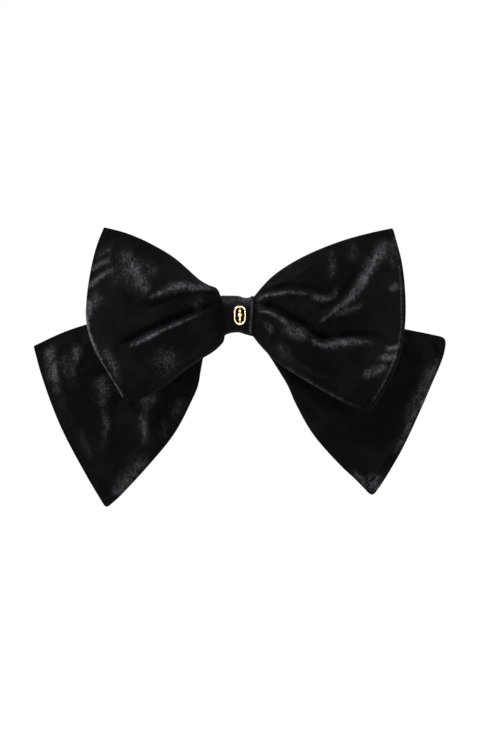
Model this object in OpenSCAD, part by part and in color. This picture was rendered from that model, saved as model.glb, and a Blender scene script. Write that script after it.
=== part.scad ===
// Velvet hair bow on a French barrette.
// A puffed pair of loops lies in front of a pair of tails. A velvet wrap holds both at the waist,
// carries a small gilt ornament, and straps the bow to the barrette's base plate.
// The origin is the middle of the space that holds the hair. X runs along the barrette, Z is up,
// and the bow faces -Y, so that the head is on the +Y side. Millimetres.

/* [Left loop] */
// Top corner, how far it stands out from the knot's centre
left_loop_top_out = 67; // [52:0.5:84]
// Top corner, how high it stands
left_loop_top_up = 44; // [34:0.5:56]
// Middle of the outer edge, how far it stands out
left_loop_side_out = 75.5; // [58:0.5:94]
// Bottom corner, how far it stands out
left_loop_bottom_out = 56; // [44:0.5:72]
// Bottom corner, how far it hangs down
left_loop_bottom_down = 44; // [34:0.5:56]
// How far the top edge bows outwards
left_loop_top_bulge = 5.8; // [2:0.1:9]
// How far the bottom edge bows outwards
left_loop_bottom_bulge = 5.4; // [1:0.1:8]

/* [Right loop] */
// Top corner, how far it stands out from the knot's centre
right_loop_top_out = 77; // [60:0.5:94]
// Top corner, how high it stands
right_loop_top_up = 43.5; // [34:0.5:56]
// Middle of the outer edge, how far it stands out
right_loop_side_out = 84; // [66:0.5:102]
// Bottom corner, how far it stands out
right_loop_bottom_out = 66; // [52:0.5:82]
// Bottom corner, how far it hangs down
right_loop_bottom_down = 48; // [38:0.5:60]
// How far the top edge bows outwards
right_loop_top_bulge = 7.2; // [2:0.1:10]
// How far the bottom edge bows outwards
right_loop_bottom_bulge = 6; // [1:0.1:8]

/* [Left tail] */
// Upper corner, how far it stands out
left_tail_corner_out = 102.5; // [84:0.5:124]
// Upper corner, how far it hangs down
left_tail_corner_down = 15.5; // [10:0.5:22]
// Tip, how far it stands out
left_tail_tip_out = 66; // [52:0.5:82]
// Tip, how far it hangs down
left_tail_tip_down = 96.5; // [76:0.5:118]
// How far the top edge bows outwards
left_tail_top_bulge = 6; // [1:0.1:8]
// How far the end bows outwards
left_tail_end_bulge = 4.2; // [1:0.1:8]
// How far the inner edge bows outwards
left_tail_inner_bulge = 8.5; // [4:0.1:12]

/* [Right tail] */
// Upper corner, how far it stands out
right_tail_corner_out = 105; // [86:0.5:126]
// Upper corner, how far it hangs down
right_tail_corner_down = 12.5; // [8:0.5:20]
// Tip, how far it stands out
right_tail_tip_out = 68; // [54:0.5:84]
// Tip, how far it hangs down
right_tail_tip_down = 91; // [72:0.5:112]
// How far the top edge bows outwards
right_tail_top_bulge = 2.5; // [1:0.1:8]
// How far the end bows outwards
right_tail_end_bulge = 3.5; // [1:0.1:8]
// How far the inner edge bows outwards
right_tail_inner_bulge = 5.5; // [4:0.1:12]

/* [Velvet and stuffing] */
// How far a loop puffs out to the front
loop_front_puff = 12; // [8:0.5:15]
// How far a loop puffs out to the back
loop_back_puff = 6; // [4:0.5:7]
// How far a tail puffs out to the front
tail_front_puff = 3; // [2:0.25:3.75]
// How far a tail puffs out to the back
tail_back_puff = 3; // [2:0.25:3.5]
// How far the loops' outer edges stand forward of their waist
loop_lean = 7; // [6:0.5:10]
// How far the tails' ends sit behind their waist
tail_drift = 6; // [5:0.5:8]
// Thickness of the velvet
velvet_t = 0.7; // [0.5:0.05:1]

/* [Knot] */
// Width of the wrap, along the barrette
knot_width = 16.5; // [13:0.5:20]
// Height of the gathered waist inside the wrap
waist_height = 15.3; // [12.5:0.1:18.5]
// Depth of the loops' gathered waist
loop_waist_depth = 8; // [6.5:0.1:9.6]
// Depth of the tails' gathered waist
tail_waist_depth = 5; // [4:0.1:6]
// Thickness of the doubled velvet wrap
wrap_t = 1.4; // [1.1:0.1:1.7]
// Radius of the wrap's corners
knot_corner = 5; // [3.5:0.1:6]
// Thickness of the sewing thread
thread_d = 0.5; // [0.4:0.05:0.6]
// Windings on each side of the waist
waist_turns = 4; // [3:1:5]

/* [Ornament] */
// Width of the gilt ornament
ornament_w = 6.4; // [5.4:0.1:7.6]
// Height of the gilt ornament
ornament_h = 9.8; // [8.4:0.1:11.6]
// Thickness of its wire
ornament_wire = 1.1; // [0.9:0.05:1.3]
// Distance of the ornament from the knot's middle
ornament_shift = 1.2; // [0:0.1:1.5]
// Radius of its prongs
prong_r = 0.3; // [0.25:0.05:0.35]
// Thickness of the washer behind the wrap
washer_t = 0.4; // [0.3:0.05:0.5]

/* [Barrette] */
// Length of the base plate
plate_length = 80; // [72:0.5:96]
// Width of the base plate
plate_width = 10; // [9:0.25:12]
// Thickness of the plate and the arm
plate_t = 0.8; // [0.7:0.05:1]
// Radius that the base plate is bent to
plate_radius = 200; // [170:5:240]
// Radius that the clasp arm is bent to
arm_radius = 400; // [340:10:480]
// Free depth for the hair, between the tension bar and the arm
hair_gap = 4.8; // [4.6:0.1:5.8]
// Thickness of the tension bar
bar_t = 0.4; // [0.3:0.05:0.5]
// Width of the tension bar
bar_width = 6; // [5:0.25:6.5]
// Free depth behind the tension bar, which it can be pressed into
bar_room = 3; // [2.6:0.1:3.6]
// Radius of the hinge rivet
rivet_r = 0.75; // [0.65:0.05:0.85]
// Radius of the sewing holes
sewing_hole_r = 0.6; // [0.5:0.05:0.65]
// Width of a catch tab, along the barrette
tab_width = 4; // [3.4:0.1:4.6]
// Thickness of the catch's spring steel
tab_t = 0.5; // [0.4:0.05:0.6]

/* [Hidden] */
$fn = 48;

// How far an arc of radius r has risen at x from its lowest point
function arc_rise(r, x) = r - sqrt(r * r - x * x);

// Clearances
fit = 0.1;           // between pieces that lie against each other
running = 0.05;      // round the rivets, in their bores
layer_gap = 0.2;     // between the loops' waist and the tails' waist
filling_share = 0.95;  // how much of the depth inside the velvet its filling takes

// Facets of the soft pieces: steps from the waist to the outer edge, and steps across
rows_out = 13;
cols_across = 12;

// Where the plate is wider than the flat of the wrap's inside, it sits deeper, clear of the round corners
knot_height = waist_height + 2 * (thread_d + 2 * fit + wrap_t);
over_flat = max(0, plate_width / 2 - (knot_height / 2 - knot_corner));
corner_sink = max(0, arc_rise(knot_corner - wrap_t, over_flat) - fit / 2);

// Depths, from the head forwards. Everything in front is stacked on the tension bar's hair face.
arm_back = hair_gap / 2;
bar_back = -hair_gap / 2;
wrap_back = bar_back - bar_t - bar_room;
plate_back = wrap_back - wrap_t - fit - arc_rise(plate_radius, knot_width / 2) - corner_sink;
plate_front = plate_back - plate_t;
tail_waist_back = plate_front - thread_d - 2 * fit;
loop_waist_back = tail_waist_back - tail_waist_depth - layer_gap;
loop_waist_front = loop_waist_back - loop_waist_depth;
prong_d = 2 * prong_r;
wrap_front = loop_waist_front - prong_d - washer_t - 3 * fit - wrap_t;
waist_x = knot_width / 2;

// The windings turn tighter corners than the wrap, and the tails' seams lie inside those corners
thread_corner = knot_corner - wrap_t - 1;
thread_bend = thread_corner - thread_d;
seam_depth = tail_waist_depth / 2 - velvet_t + fit;
seam_inset = seam_depth < thread_bend ? arc_rise(thread_bend, thread_bend - seam_depth) : 0;
waist_z = waist_height / 2 - seam_inset;

// Hinge, at the barrette's left end
hinge_x = -plate_length / 2 + 3;
knuckle_r = rivet_r + running + plate_t;
hinge_y = arm_y(hinge_x) + plate_t - knuckle_r;
bar_knuckle_r = rivet_r + running + bar_t + 0.1;
bar_knuckle_w = 3.7;
knuckle_gap = 0.15;
ear_t = plate_t;
arm_width = plate_width - 2 * ear_t - 0.4;
ear_reach = 2.1;     // from the rivet's axis to the ear's rounded end
rivet_head_r = 1.4;
rivet_head_t = 0.5;

// Catch, at the right end
catch_x = plate_length / 2 - 3.5;
bracket_half = 2.9;  // half the height of the bracket's foot
tab_root_r = 0.35;
tab_root_z = bracket_half + fit + tab_root_r;
tab_root_y = plate_y(catch_x + tab_width / 2) + tab_root_r + fit;
window_half = 2.6;   // half the height of the window in the arm
barb = 0.25;
catch_rivet_r = 0.8;

// Places along the plate where the thread goes round its edges
sewing_x = [14, 26];
sewing_z = plate_width / 2 - 1.1;

// ---- Curves and sheets ----

function mix(a, b, t) = a * (1 - t) + b * t;

// The point at t on the parabola from a to b that passes through mid
function parabola(a, mid, b, t) =
    let (control = 2 * mid - (a + b) / 2)
    mix(mix(a, control, t), mix(control, b, t), t);

// The middle of the edge from a to b, pushed out by bulge to the left of that direction
function pushed(a, b, bulge) =
    let (d = (b - a) / norm(b - a))
    (a + b) / 2 + bulge * [-d[1], d[0]];

// One half of the bow in the XZ plane, for a half on the +X side:
// [waist bottom, waist top, bottom corner, top corner, middles of bottom, top and outer edge]
function half_outline(bottom, top, side_mid, bottom_bulge, top_bulge) =
    let (wb = [waist_x, -waist_z], wt = [waist_x, waist_z])
    [wb, wt, bottom, top, pushed(bottom, wb, bottom_bulge), pushed(wt, top, top_bulge), side_mid];

// The point of a half at u from the waist outwards and w from the bottom up, blended from its edges
function on_half(o, u, w) =
    let (
        bottom = parabola(o[0], o[4], o[2], u),
        top = parabola(o[1], o[5], o[3], u),
        inner = mix(o[0], o[1], w),
        outer = parabola(o[2], o[6], o[3], w),
        corners = mix(mix(o[0], o[1], w), mix(o[2], o[3], w), u)
    )
    mix(bottom, top, w) + mix(inner, outer, u) - corners;

function mirrored(o) = [for (p = o) [-p[0], p[1]]];

// Half the thickness of a stuffed half: an ellipse at the waist, a pillow further out, closed at the edge
function swell(u, w, waist, puff) =
    (waist * pow(1 - u, 3) + puff * sin(180 * pow(u, 0.8))) * pow(1 - pow(2 * w - 1, 2), mix(0.5, 0.7, u));

// Steps from 0 to 1 that are closest together at both ends, where a pouch curves most
function step(i, n) = (1 - cos(180 * i / n)) / 2;

// The rows of a pouch, as [u, outline], from the left edge through the waist to the right
function pouch_rows(left, right) =
    concat(
        [for (i = [rows_out : -1 : 0]) [step(i, rows_out), left]],
        [for (i = [0 : rows_out]) [step(i, rows_out), right]]
    );

// Where the crown of the loops' back lies. It leans forwards, away from the tails.
function loops_crown_y(u) = loop_waist_back - loop_lean * sin(90 * u);

// Where the crown of the tails' back lies. It follows the base plate, and drifts back beyond its end.
function tails_crown_y(u) =
    let (
        end_x = plate_length / 2,
        x = waist_x + u * (left_tail_corner_out - waist_x),
        end_rise = plate_y(end_x) - plate_y(waist_x),
        beyond = max(0, (x - end_x) / (left_tail_corner_out - end_x))
    )
    tail_waist_back + (beyond > 0 ? mix(end_rise, tail_drift, sin(90 * beyond)) : plate_y(x) - plate_y(waist_x));

all_cols = [for (j = [0 : cols_across]) step(j, cols_across)];
inner_cols = [for (j = [1 : cols_across - 1]) step(j, cols_across)];

// The closed solid between two grids of the same size. front is the grid on the -Y side.
module between(front, back) {
    n = len(front);
    m = len(front[0]);
    function f(i, j) = i * m + j;
    function b(i, j) = n * m + i * m + j;
    flat = concat([for (r = front) for (p = r) p], [for (r = back) for (p = r) p]);
    faces = concat(
        [for (i = [0 : n - 2]) for (j = [0 : m - 2]) each [
            [f(i, j), f(i, j + 1), f(i + 1, j + 1)], [f(i, j), f(i + 1, j + 1), f(i + 1, j)],
            [b(i, j), b(i + 1, j + 1), b(i, j + 1)], [b(i, j), b(i + 1, j), b(i + 1, j + 1)],
        ]],
        [for (i = [0 : n - 2]) each [
            [f(i, 0), f(i + 1, 0), b(i + 1, 0)], [f(i, 0), b(i + 1, 0), b(i, 0)],
            [f(i, m - 1), b(i + 1, m - 1), f(i + 1, m - 1)], [f(i, m - 1), b(i, m - 1), b(i + 1, m - 1)],
        ]],
        [for (j = [0 : m - 2]) each [
            [f(0, j), b(0, j + 1), f(0, j + 1)], [f(0, j), b(0, j), b(0, j + 1)],
            [f(n - 1, j), f(n - 1, j + 1), b(n - 1, j + 1)], [f(n - 1, j), b(n - 1, j + 1), b(n - 1, j)],
        ]]
    );
    polyhedron(points = flat, faces = faces);
}

// ---- The two pouches ----

// Outlines, all drawn on the +X side
left_loop = half_outline(
    [left_loop_bottom_out, -left_loop_bottom_down], [left_loop_top_out, left_loop_top_up],
    [left_loop_side_out, (left_loop_top_up - left_loop_bottom_down) / 2],
    left_loop_bottom_bulge, left_loop_top_bulge
);
right_loop = half_outline(
    [right_loop_bottom_out, -right_loop_bottom_down], [right_loop_top_out, right_loop_top_up],
    [right_loop_side_out, (right_loop_top_up - right_loop_bottom_down) / 2],
    right_loop_bottom_bulge, right_loop_top_bulge
);

function tail_outline(corner, tip, top_bulge, end_bulge, inner_bulge) =
    half_outline(tip, corner, pushed(corner, tip, end_bulge), inner_bulge, top_bulge);

left_tail = tail_outline(
    [left_tail_corner_out, -left_tail_corner_down], [left_tail_tip_out, -left_tail_tip_down],
    left_tail_top_bulge, left_tail_end_bulge, left_tail_inner_bulge
);
right_tail = tail_outline(
    [right_tail_corner_out, -right_tail_corner_down], [right_tail_tip_out, -right_tail_tip_down],
    right_tail_top_bulge, right_tail_end_bulge, right_tail_inner_bulge
);

// What sets a pouch: [left outline, right outline, crown of its back, half waist depth, front puff, back puff]
loops = [mirrored(left_loop), right_loop, function (u) loops_crown_y(u), loop_waist_depth / 2 - velvet_t,
    loop_front_puff, loop_back_puff];
tails = [mirrored(left_tail), right_tail, function (u) tails_crown_y(u), tail_waist_depth / 2 - velvet_t,
    tail_front_puff, tail_back_puff];

// The depth of a pouch's middle surface, where the seam lies
function middle_y(pouch, u) =
    let (crown = pouch[2])
    crown(u) - velvet_t - swell(u, 0.5, pouch[3], pouch[5]);

// A grid of points on a pouch. side is -1 for its front and 1 for its back. The depth from the middle
// surface is a share of the swell, and extra on top.
function pouch_sheet(pouch, rows, cols, side, extra, share = 1) =
    [for (r = rows) [for (w = cols)
        let (
            p = on_half(r[1], r[0], w),
            half = share * swell(r[0], w, pouch[3], side < 0 ? pouch[4] : pouch[5]) + extra
        )
        [p[0], middle_y(pouch, r[0]) + side * half, p[1]]
    ]];

// The velvet on one side of a pouch, in one piece from the left edge through the waist to the right.
// side is -1 for the front panel and 1 for the back panel, and seam_gap keeps the two apart at the seam.
seam_gap = 0.02;
module velvet_panel(pouch, side) {
    rows = pouch_rows(pouch[0], pouch[1]);
    outer = pouch_sheet(pouch, rows, all_cols, side, velvet_t);
    inner = pouch_sheet(pouch, rows, all_cols, side, seam_gap);
    if (side < 0) between(outer, inner);
    else between(inner, outer);
}

// The stuffing of one half. It starts near the waist, and stops short of the seams.
module filling(pouch, outline) {
    first = 3;
    last = rows_out - 1;
    on_left = outline[2][0] < 0;
    rows = [for (i = [first : last]) [step(on_left ? first + last - i : i, rows_out), outline]];
    between(
        pouch_sheet(pouch, rows, inner_cols, -1, 0, filling_share),
        pouch_sheet(pouch, rows, inner_cols, 1, 0, filling_share)
    );
}

module loops_front_panel() { color("#141416") velvet_panel(loops, -1); }
module loops_back_panel() { color("#141416") velvet_panel(loops, 1); }
module loop_filling_left() { color("ivory") filling(loops, loops[0]); }
module loop_filling_right() { color("ivory") filling(loops, loops[1]); }
module tails_front_panel() { color("#141416") velvet_panel(tails, -1); }
module tails_back_panel() { color("#141416") velvet_panel(tails, 1); }
module tail_filling_left() { color("ivory") filling(tails, tails[0]); }
module tail_filling_right() { color("ivory") filling(tails, tails[1]); }

// ---- The knot ----

// Draws a YZ profile and extrudes it along X, centred
module along_x(length) {
    rotate([90, 0, 90]) linear_extrude(height = length, center = true) children();
}

// A rounded rectangle in YZ, from y0 to y1 and half_z each way
module rounded(y0, y1, half_z, r) {
    translate([(y0 + y1) / 2, 0]) {
        square([y1 - y0 - 2 * r, 2 * half_z], center = true);
        square([y1 - y0, 2 * (half_z - r)], center = true);
        for (y = [-1, 1], z = [-1, 1])
            translate([y * ((y1 - y0) / 2 - r), z * (half_z - r)]) circle(r);
    }
}

// A ring in YZ of thickness t, inside the rounded rectangle
module rounded_ring(y0, y1, half_z, r, t) {
    difference() {
        rounded(y0, y1, half_z, r);
        rounded(y0 + t, y1 - t, half_z - t, r - t);
    }
}

// Thread pulled tight round both waists, a few turns on each side of the ornament's washer
module waist_thread() {
    half_z = waist_height / 2 + fit + thread_d;
    color("#1b1b1e") for (side = [-1, 1], i = [0 : waist_turns - 1])
        translate([side * (waist_x - 1 - i * thread_d * 1.4), 0, 0])
            along_x(thread_d)
                rounded_ring(loop_waist_front - fit - thread_d, tail_waist_back + fit + thread_d,
                    half_z, thread_corner, thread_d);
}

prong_z = ornament_h / 2 - 2.2;

module prong_holes(r) {
    for (z = [-1, 1]) translate([ornament_shift, 0, z * prong_z])
        rotate([90, 0, 0]) cylinder(r = r, h = -2 * wrap_front);
}

// The velvet strap round the waists and the base plate
module knot_wrap() {
    color("#1c1a22") difference() {
        along_x(knot_width) rounded_ring(wrap_front, wrap_back, knot_height / 2, knot_corner, wrap_t);
        prong_holes(prong_r + running);
    }
}

// Ladder stitches that close the wrap, on the side of the hair
module knot_seam_stitches() {
    stitch = 2.2;
    color("#1b1b1e") for (i = [-3 : 3])
        translate([i * knot_width / 8, wrap_back, 0])
            cylinder(d = thread_d, h = stitch, center = true);
}

// ---- The ornament ----

// Half of a ring of wire, with its ends on the X axis and its crown towards +Y
module half_ring(radius) {
    rotate_extrude(angle = 180) translate([radius, 0]) circle(d = ornament_wire);
}

// An oval wire frame with a post of three beads, drawn lying down with its back at z = 0
module bead_frame() {
    radius = (ornament_w - ornament_wire) / 2;
    straight = ornament_h - ornament_w;
    bead_r = [0.8, 1.2, 0.8];
    bead_step = 2;
    translate([0, 0, ornament_wire / 2]) {
        for (turn = [0, 180]) rotate(turn) {
            translate([0, straight / 2, 0]) half_ring(radius);
            translate([radius, 0, 0]) rotate([90, 0, 0]) cylinder(d = ornament_wire, h = straight, center = true);
        }
        rotate([90, 0, 0]) cylinder(r = 0.36, h = ornament_h - ornament_wire, center = true);
    }
    intersection() {
        for (i = [-1 : 1]) translate([0, i * bead_step, ornament_wire / 2]) sphere(bead_r[i + 1]);
        translate([-ornament_w / 2, -ornament_h / 2, 0]) cube([ornament_w, ornament_h, ornament_h]);
    }
}

// The ornament and its two prongs, which pass through the wrap and bend flat behind the washer
module ornament() {
    through = wrap_t + washer_t + 3 * fit + prong_r;
    bent = 1.3;
    color("gold") translate([ornament_shift, wrap_front - fit, 0]) rotate([90, 0, 0]) {
        bead_frame();
        for (side = [-1, 1]) translate([0, side * prong_z, 0]) {
            translate([0, 0, -through]) cylinder(r = prong_r, h = through + ornament_wire / 2);
            translate([0, 0, -through]) rotate([side * -90, 0, 0]) cylinder(r = prong_r, h = bent);
            translate([0, 0, -through]) sphere(prong_r);
        }
    }
}

// The plate behind the wrap that the prongs are bent against
module ornament_washer() {
    width = 4.4;
    height = 2 * prong_z + 4;
    color("gold") difference() {
        translate([ornament_shift - width / 2, wrap_front + wrap_t + fit, -height / 2])
            cube([width, washer_t, height]);
        prong_holes(prong_r + running);
    }
}

// ---- The barrette ----

// Depths of the base plate's hair side and the arm's bow side, at x
function plate_y(x) = plate_back + arc_rise(plate_radius, x);
function arm_y(x) = arm_back + arc_rise(arm_radius, x);

// A strip bent to an arc and hollow towards +Y, in XY: its face at depth y reaches radius r,
// and it is t thick towards the hollow
module bent_strip(x0, x1, y, r, t) {
    intersection() {
        translate([0, y + r]) difference() {
            circle(r, $fn = 256);
            circle(r - t, $fn = 256);
        }
        translate([x0, y - t]) square([x1 - x0, r / 2]);
    }
}

// The outline of a thin strip of thickness t along a path in the plane
function ribbon(path, t) =
    let (
        n = len(path),
        dirs = [for (i = [0 : n - 2]) (path[i + 1] - path[i]) / norm(path[i + 1] - path[i])],
        sides = [for (i = [0 : n - 1])
            let (
                before = dirs[max(i - 1, 0)],
                after = dirs[min(i, n - 2)],
                half = (before + after) / norm(before + after),
                reach = t / 2 / max(0.5, half * after)
            )
            reach * [-half[1], half[0]]]
    )
    concat([for (i = [0 : n - 1]) path[i] + sides[i]], [for (i = [n - 1 : -1 : 0]) path[i] - sides[i]]);

module at_hinge() { translate([hinge_x, hinge_y, 0]) children(); }

module hinge_bore(r) { at_hinge() cylinder(r = r, h = 2 * plate_width, center = true); }

// The sewing holes, near both long edges
module sewing_holes() {
    for (x = sewing_x, side = [-1, 1], z = [-1, 1])
        translate([side * x, plate_y(x), z * sewing_z]) rotate([90, 0, 0])
            cylinder(r = sewing_hole_r, h = 4 * plate_t, center = true);
}

module catch_rivet_hole() {
    translate([catch_x, plate_y(catch_x), 0]) rotate([90, 0, 0])
        cylinder(r = catch_rivet_r + running, h = 6 * plate_t, center = true);
}

// The base plate, with two ears for the hinge rivet
module barrette_plate() {
    ear_width = 4.6;
    color("silver") difference() {
        union() {
            linear_extrude(height = plate_width, center = true)
                bent_strip(-plate_length / 2, plate_length / 2, plate_front, plate_radius + plate_t, plate_t);
            for (side = [-1, 1]) translate([0, 0, side * (plate_width - ear_t) / 2])
                linear_extrude(height = ear_t, center = true) {
                    translate([hinge_x, hinge_y]) circle(ear_reach);
                    translate([hinge_x - ear_width / 2, plate_y(hinge_x) - plate_t / 2])
                        square([ear_width, hinge_y - plate_y(hinge_x) + plate_t / 2]);
                }
        }
        hinge_bore(rivet_r + running);
        sewing_holes();
        catch_rivet_hole();
    }
}

// Whip stitches round the plate's lower edge, from the sewing holes into the velvet behind the tails
module plate_stitches() {
    bite = 0.6;
    inner_z = sewing_z - thread_d / 2;
    outer_z = plate_width / 2 + fit + thread_d;
    color("#1b1b1e") for (x = sewing_x, side = [-1, 1]) {
        y0 = plate_y(x) - plate_t - thread_d - 2 * fit - bite;
        y1 = plate_y(x) + fit + thread_d;
        translate([side * x, 0, -(inner_z + outer_z) / 2])
            along_x(thread_d) rounded_ring(y0, y1, (outer_z - inner_z) / 2, 0.8, thread_d);
    }
}

// The rivet that the arm and the tension bar turn on, headed over the ears
module hinge_rivet() {
    color("silver") at_hinge() {
        cylinder(r = rivet_r, h = plate_width + 2 * running + 0.4, center = true);
        for (side = [-1, 1]) translate([0, 0, side * (plate_width / 2 + running + rivet_head_t / 2)])
            cylinder(r = rivet_head_r, h = rivet_head_t, center = true);
    }
}

// The foot that the catch tabs spring from, riveted to the plate
module catch_bracket() {
    color("silver") difference() {
        linear_extrude(height = 2 * bracket_half, center = true)
            bent_strip(catch_x - tab_width / 2 - 0.6, catch_x + tab_width / 2 + 0.6,
                plate_back + running, plate_radius - running, tab_t);
        catch_rivet_hole();
    }
}

module catch_rivet() {
    head_t = 0.4;
    y0 = plate_y(catch_x - 1) - plate_t - head_t - fit;
    y1 = plate_y(catch_x + 1.4) + tab_t + head_t + 2 * fit;
    color("silver") translate([catch_x, 0, 0]) {
        translate([0, y1, 0]) rotate([90, 0, 0]) cylinder(r = catch_rivet_r, h = y1 - y0);
        for (y = [y0 + head_t, y1]) translate([0, y, 0]) rotate([90, 0, 0]) cylinder(r = 1.3, h = head_t);
    }
}

// The arm that closes over the hair. Its window snaps over the catch tabs.
module clasp_arm() {
    knuckle_w = (arm_width - bar_knuckle_w) / 2 - knuckle_gap;
    tip = 3;
    window = tab_width + 1;
    color("silver") difference() {
        union() {
            linear_extrude(height = arm_width, center = true)
                bent_strip(hinge_x, catch_x + tab_width / 2 + tip, arm_back, arm_radius, plate_t);
            for (side = [-1, 1]) at_hinge()
                translate([0, 0, side * (arm_width - knuckle_w) / 2])
                    cylinder(r = knuckle_r, h = knuckle_w, center = true);
        }
        hinge_bore(rivet_r + running);
        at_hinge() translate([-2 * knuckle_r, -2 * knuckle_r, -bar_knuckle_w / 2 - knuckle_gap])
            cube([4 * knuckle_r, 4 * knuckle_r, bar_knuckle_w + 2 * knuckle_gap]);
        translate([catch_x - window / 2, arm_back - 1, -window_half])
            cube([window, 3 * plate_t + arm_y(catch_x) - arm_back + 1, 2 * window_half]);
    }
}

// The springy bar that presses the hair against the arm. It hangs on the rivet, between the arm's knuckles.
module tension_bar() {
    ramp_end = hinge_x + 11;
    free_end = 27;
    leaf_y = bar_back - bar_t / 2;
    start = [hinge_x, hinge_y - bar_knuckle_r + bar_t / 2];
    path = [start, start + [2.2, -0.3], [ramp_end - 1.6, leaf_y + 0.25], [ramp_end, leaf_y],
        [free_end, leaf_y], [free_end + 1.6, leaf_y - 0.4]];
    color("silver") difference() {
        union() {
            linear_extrude(height = bar_knuckle_w, center = true) {
                translate([hinge_x, hinge_y]) circle(bar_knuckle_r);
                polygon(ribbon([for (i = [0 : 3]) path[i]], bar_t));
            }
            linear_extrude(height = bar_width, center = true)
                polygon(ribbon([for (i = [3 : 5]) path[i]], bar_t));
        }
        hinge_bore(rivet_r + running);
    }
}

// A tab of the catch, in YZ for the upper one: a neck with a barb above the arm, and a wing to pinch
module tab_profile() {
    neck_z = window_half - running - barb - tab_t / 2;
    arm_top = arm_y(catch_x + tab_width / 2) + plate_t;
    path = [[tab_root_y, tab_root_z], [tab_root_y + 3, tab_root_z - 0.2],
        [arm_back + 0.6, neck_z], [arm_top + 1.6, neck_z]];
    polygon(ribbon(path, tab_t));
    polygon([[arm_top + 0.3, neck_z], [arm_top + 0.3, neck_z + tab_t / 2 + barb], [arm_top + 1.5, neck_z]]);
    polygon(ribbon([path[1] + [0.4, -0.1], path[1] + [-0.2, plate_width / 2 + 1.6 - tab_root_z]], tab_t));
}

// The tab turns about its rolled root
module catch_tab_upper() {
    color("silver") translate([catch_x, 0, 0]) {
        along_x(tab_width) tab_profile();
        translate([0, tab_root_y, tab_root_z]) rotate([0, 90, 0])
            cylinder(r = tab_root_r, h = tab_width + 4 * fit, center = true);
    }
}

module catch_tab_lower() { color("silver") mirror([0, 0, 1]) catch_tab_upper(); }

loops_front_panel();
loops_back_panel();
loop_filling_left();
loop_filling_right();
tails_front_panel();
tails_back_panel();
tail_filling_left();
tail_filling_right();
waist_thread();
knot_wrap();
knot_seam_stitches();
ornament();
ornament_washer();
barrette_plate();
plate_stitches();
hinge_rivet();
catch_bracket();
catch_rivet();
clasp_arm();
tension_bar();
catch_tab_upper();
catch_tab_lower();
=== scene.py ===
"""Velvet hair bow on a French barrette: its looks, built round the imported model.

The bow faces -Y, X runs along the barrette and Z is up. Shapes are worked out in millimetres on the bow's
own plane (x to the right, z up, y towards the head) and become metres when a mesh is made.
"""

import math

import bpy
import numpy as np
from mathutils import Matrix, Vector
from mathutils.bvhtree import BVHTree


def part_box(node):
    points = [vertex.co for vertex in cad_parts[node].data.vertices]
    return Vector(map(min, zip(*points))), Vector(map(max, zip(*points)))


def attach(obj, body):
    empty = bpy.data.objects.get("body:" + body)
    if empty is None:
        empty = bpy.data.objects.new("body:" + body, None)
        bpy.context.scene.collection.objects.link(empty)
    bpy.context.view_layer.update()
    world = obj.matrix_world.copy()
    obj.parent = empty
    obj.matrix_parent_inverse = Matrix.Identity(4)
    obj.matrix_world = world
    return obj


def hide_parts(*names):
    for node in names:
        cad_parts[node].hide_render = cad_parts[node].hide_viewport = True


bl_info = {
    "name": "Velvet Hair Bow",
    "version": (1, 0, 0),
    "blender": (4, 5, 0),
    "location": "View3D > Sidebar > Hair Bow",
    "description": "Makes a velvet hair bow, its stitching, its ornament and the finish of its barrette",
    "category": "Add Mesh",
}

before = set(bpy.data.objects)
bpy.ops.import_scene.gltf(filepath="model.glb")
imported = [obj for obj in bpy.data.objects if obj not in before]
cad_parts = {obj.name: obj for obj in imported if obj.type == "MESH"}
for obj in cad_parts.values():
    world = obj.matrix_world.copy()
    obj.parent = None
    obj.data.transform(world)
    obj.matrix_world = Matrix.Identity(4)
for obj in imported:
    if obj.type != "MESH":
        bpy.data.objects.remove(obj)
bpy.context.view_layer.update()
MM = 0.001
TO_MM = 1000.0


def box_mm(node):
    """The lowest and highest corner of a node of the frame, in millimetres."""
    low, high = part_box(node)
    return np.array(low) * TO_MM, np.array(high) * TO_MM


WRAP_LOW, WRAP_HIGH = box_mm("knot_wrap")
LOOPS_HIGH = box_mm("loops_back_panel")[1]
TAILS_HIGH = box_mm("tails_back_panel")[1]
ORNAMENT_LOW, ORNAMENT_HIGH = box_mm("ornament")
PLATE_HIGH = box_mm("barrette_plate")[1]
KNOT_EDGE = WRAP_HIGH[0]

# Sizes of the hidden and the joining parts, in millimetres
SEAT = 0.1  # between the wrap and the ornament that lies on it
PLATE_GAP = 0.05  # between the tails and the base plate
PLATE_RADIUS = 200.0  # of the base plate's bend
PLATE_CLEAR = (1.5, 9)  # the tails' back comes free of the plate between these distances beside it
PLATE_BULGE = 6  # how far the tails' back may then bulge
WRAP_THICK = 1.4  # both layers of the wrap
WRAP_SLIT = 0.1  # between its two layers
WRAP_CORNER = 5.0  # radius of its corners, seen along the barrette
WRAP_POINTS = 300  # round the waist
PRESSED_HALF = (3.7, 5.6)  # half the width and height of the hollow that the ornament presses into the wrap
PRESSED_SHARE = 0.85  # how much of the wrap's relief it presses flat

# Grids: rows of a half and of the waist from side to side, and columns from the bottom up
WAIST_ROWS = 14
COARSE_GRID = (46, 8, 50)
CLOSER_AT_ENDS = 0.62  # how much the rows and columns crowd towards the edges, from 0 to 1

# The sewn edge, in millimetres
HEM_RISE = 2.2  # how soon the stuffing swells inside the hem
GROOVE_SHARE, GROOVE_WIDE = 0.35, 0.45  # the topstitching's groove: its share of the edge, and its width
EDGE_WAVES = ((19, 0.35), (13, 0.25), (31, 0.5))  # how the edge sways: length and height of each wave
FOLD_INSIDE = 2.6  # a fold has its full height this far inside the outline
GATHER_INSIDE = (0.2, 2.5)  # a gather sets in between these distances inside it

# The shape of a fold, in millimetres
CREST_ROUND = 0.5  # radius of its crest
TROUGH_AT, TROUGH_WIDE = 1.5, 1.7  # where the trough lies beyond the steep slope, and how wide it is
FOLD_REACH = 12  # where it has died away

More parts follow.
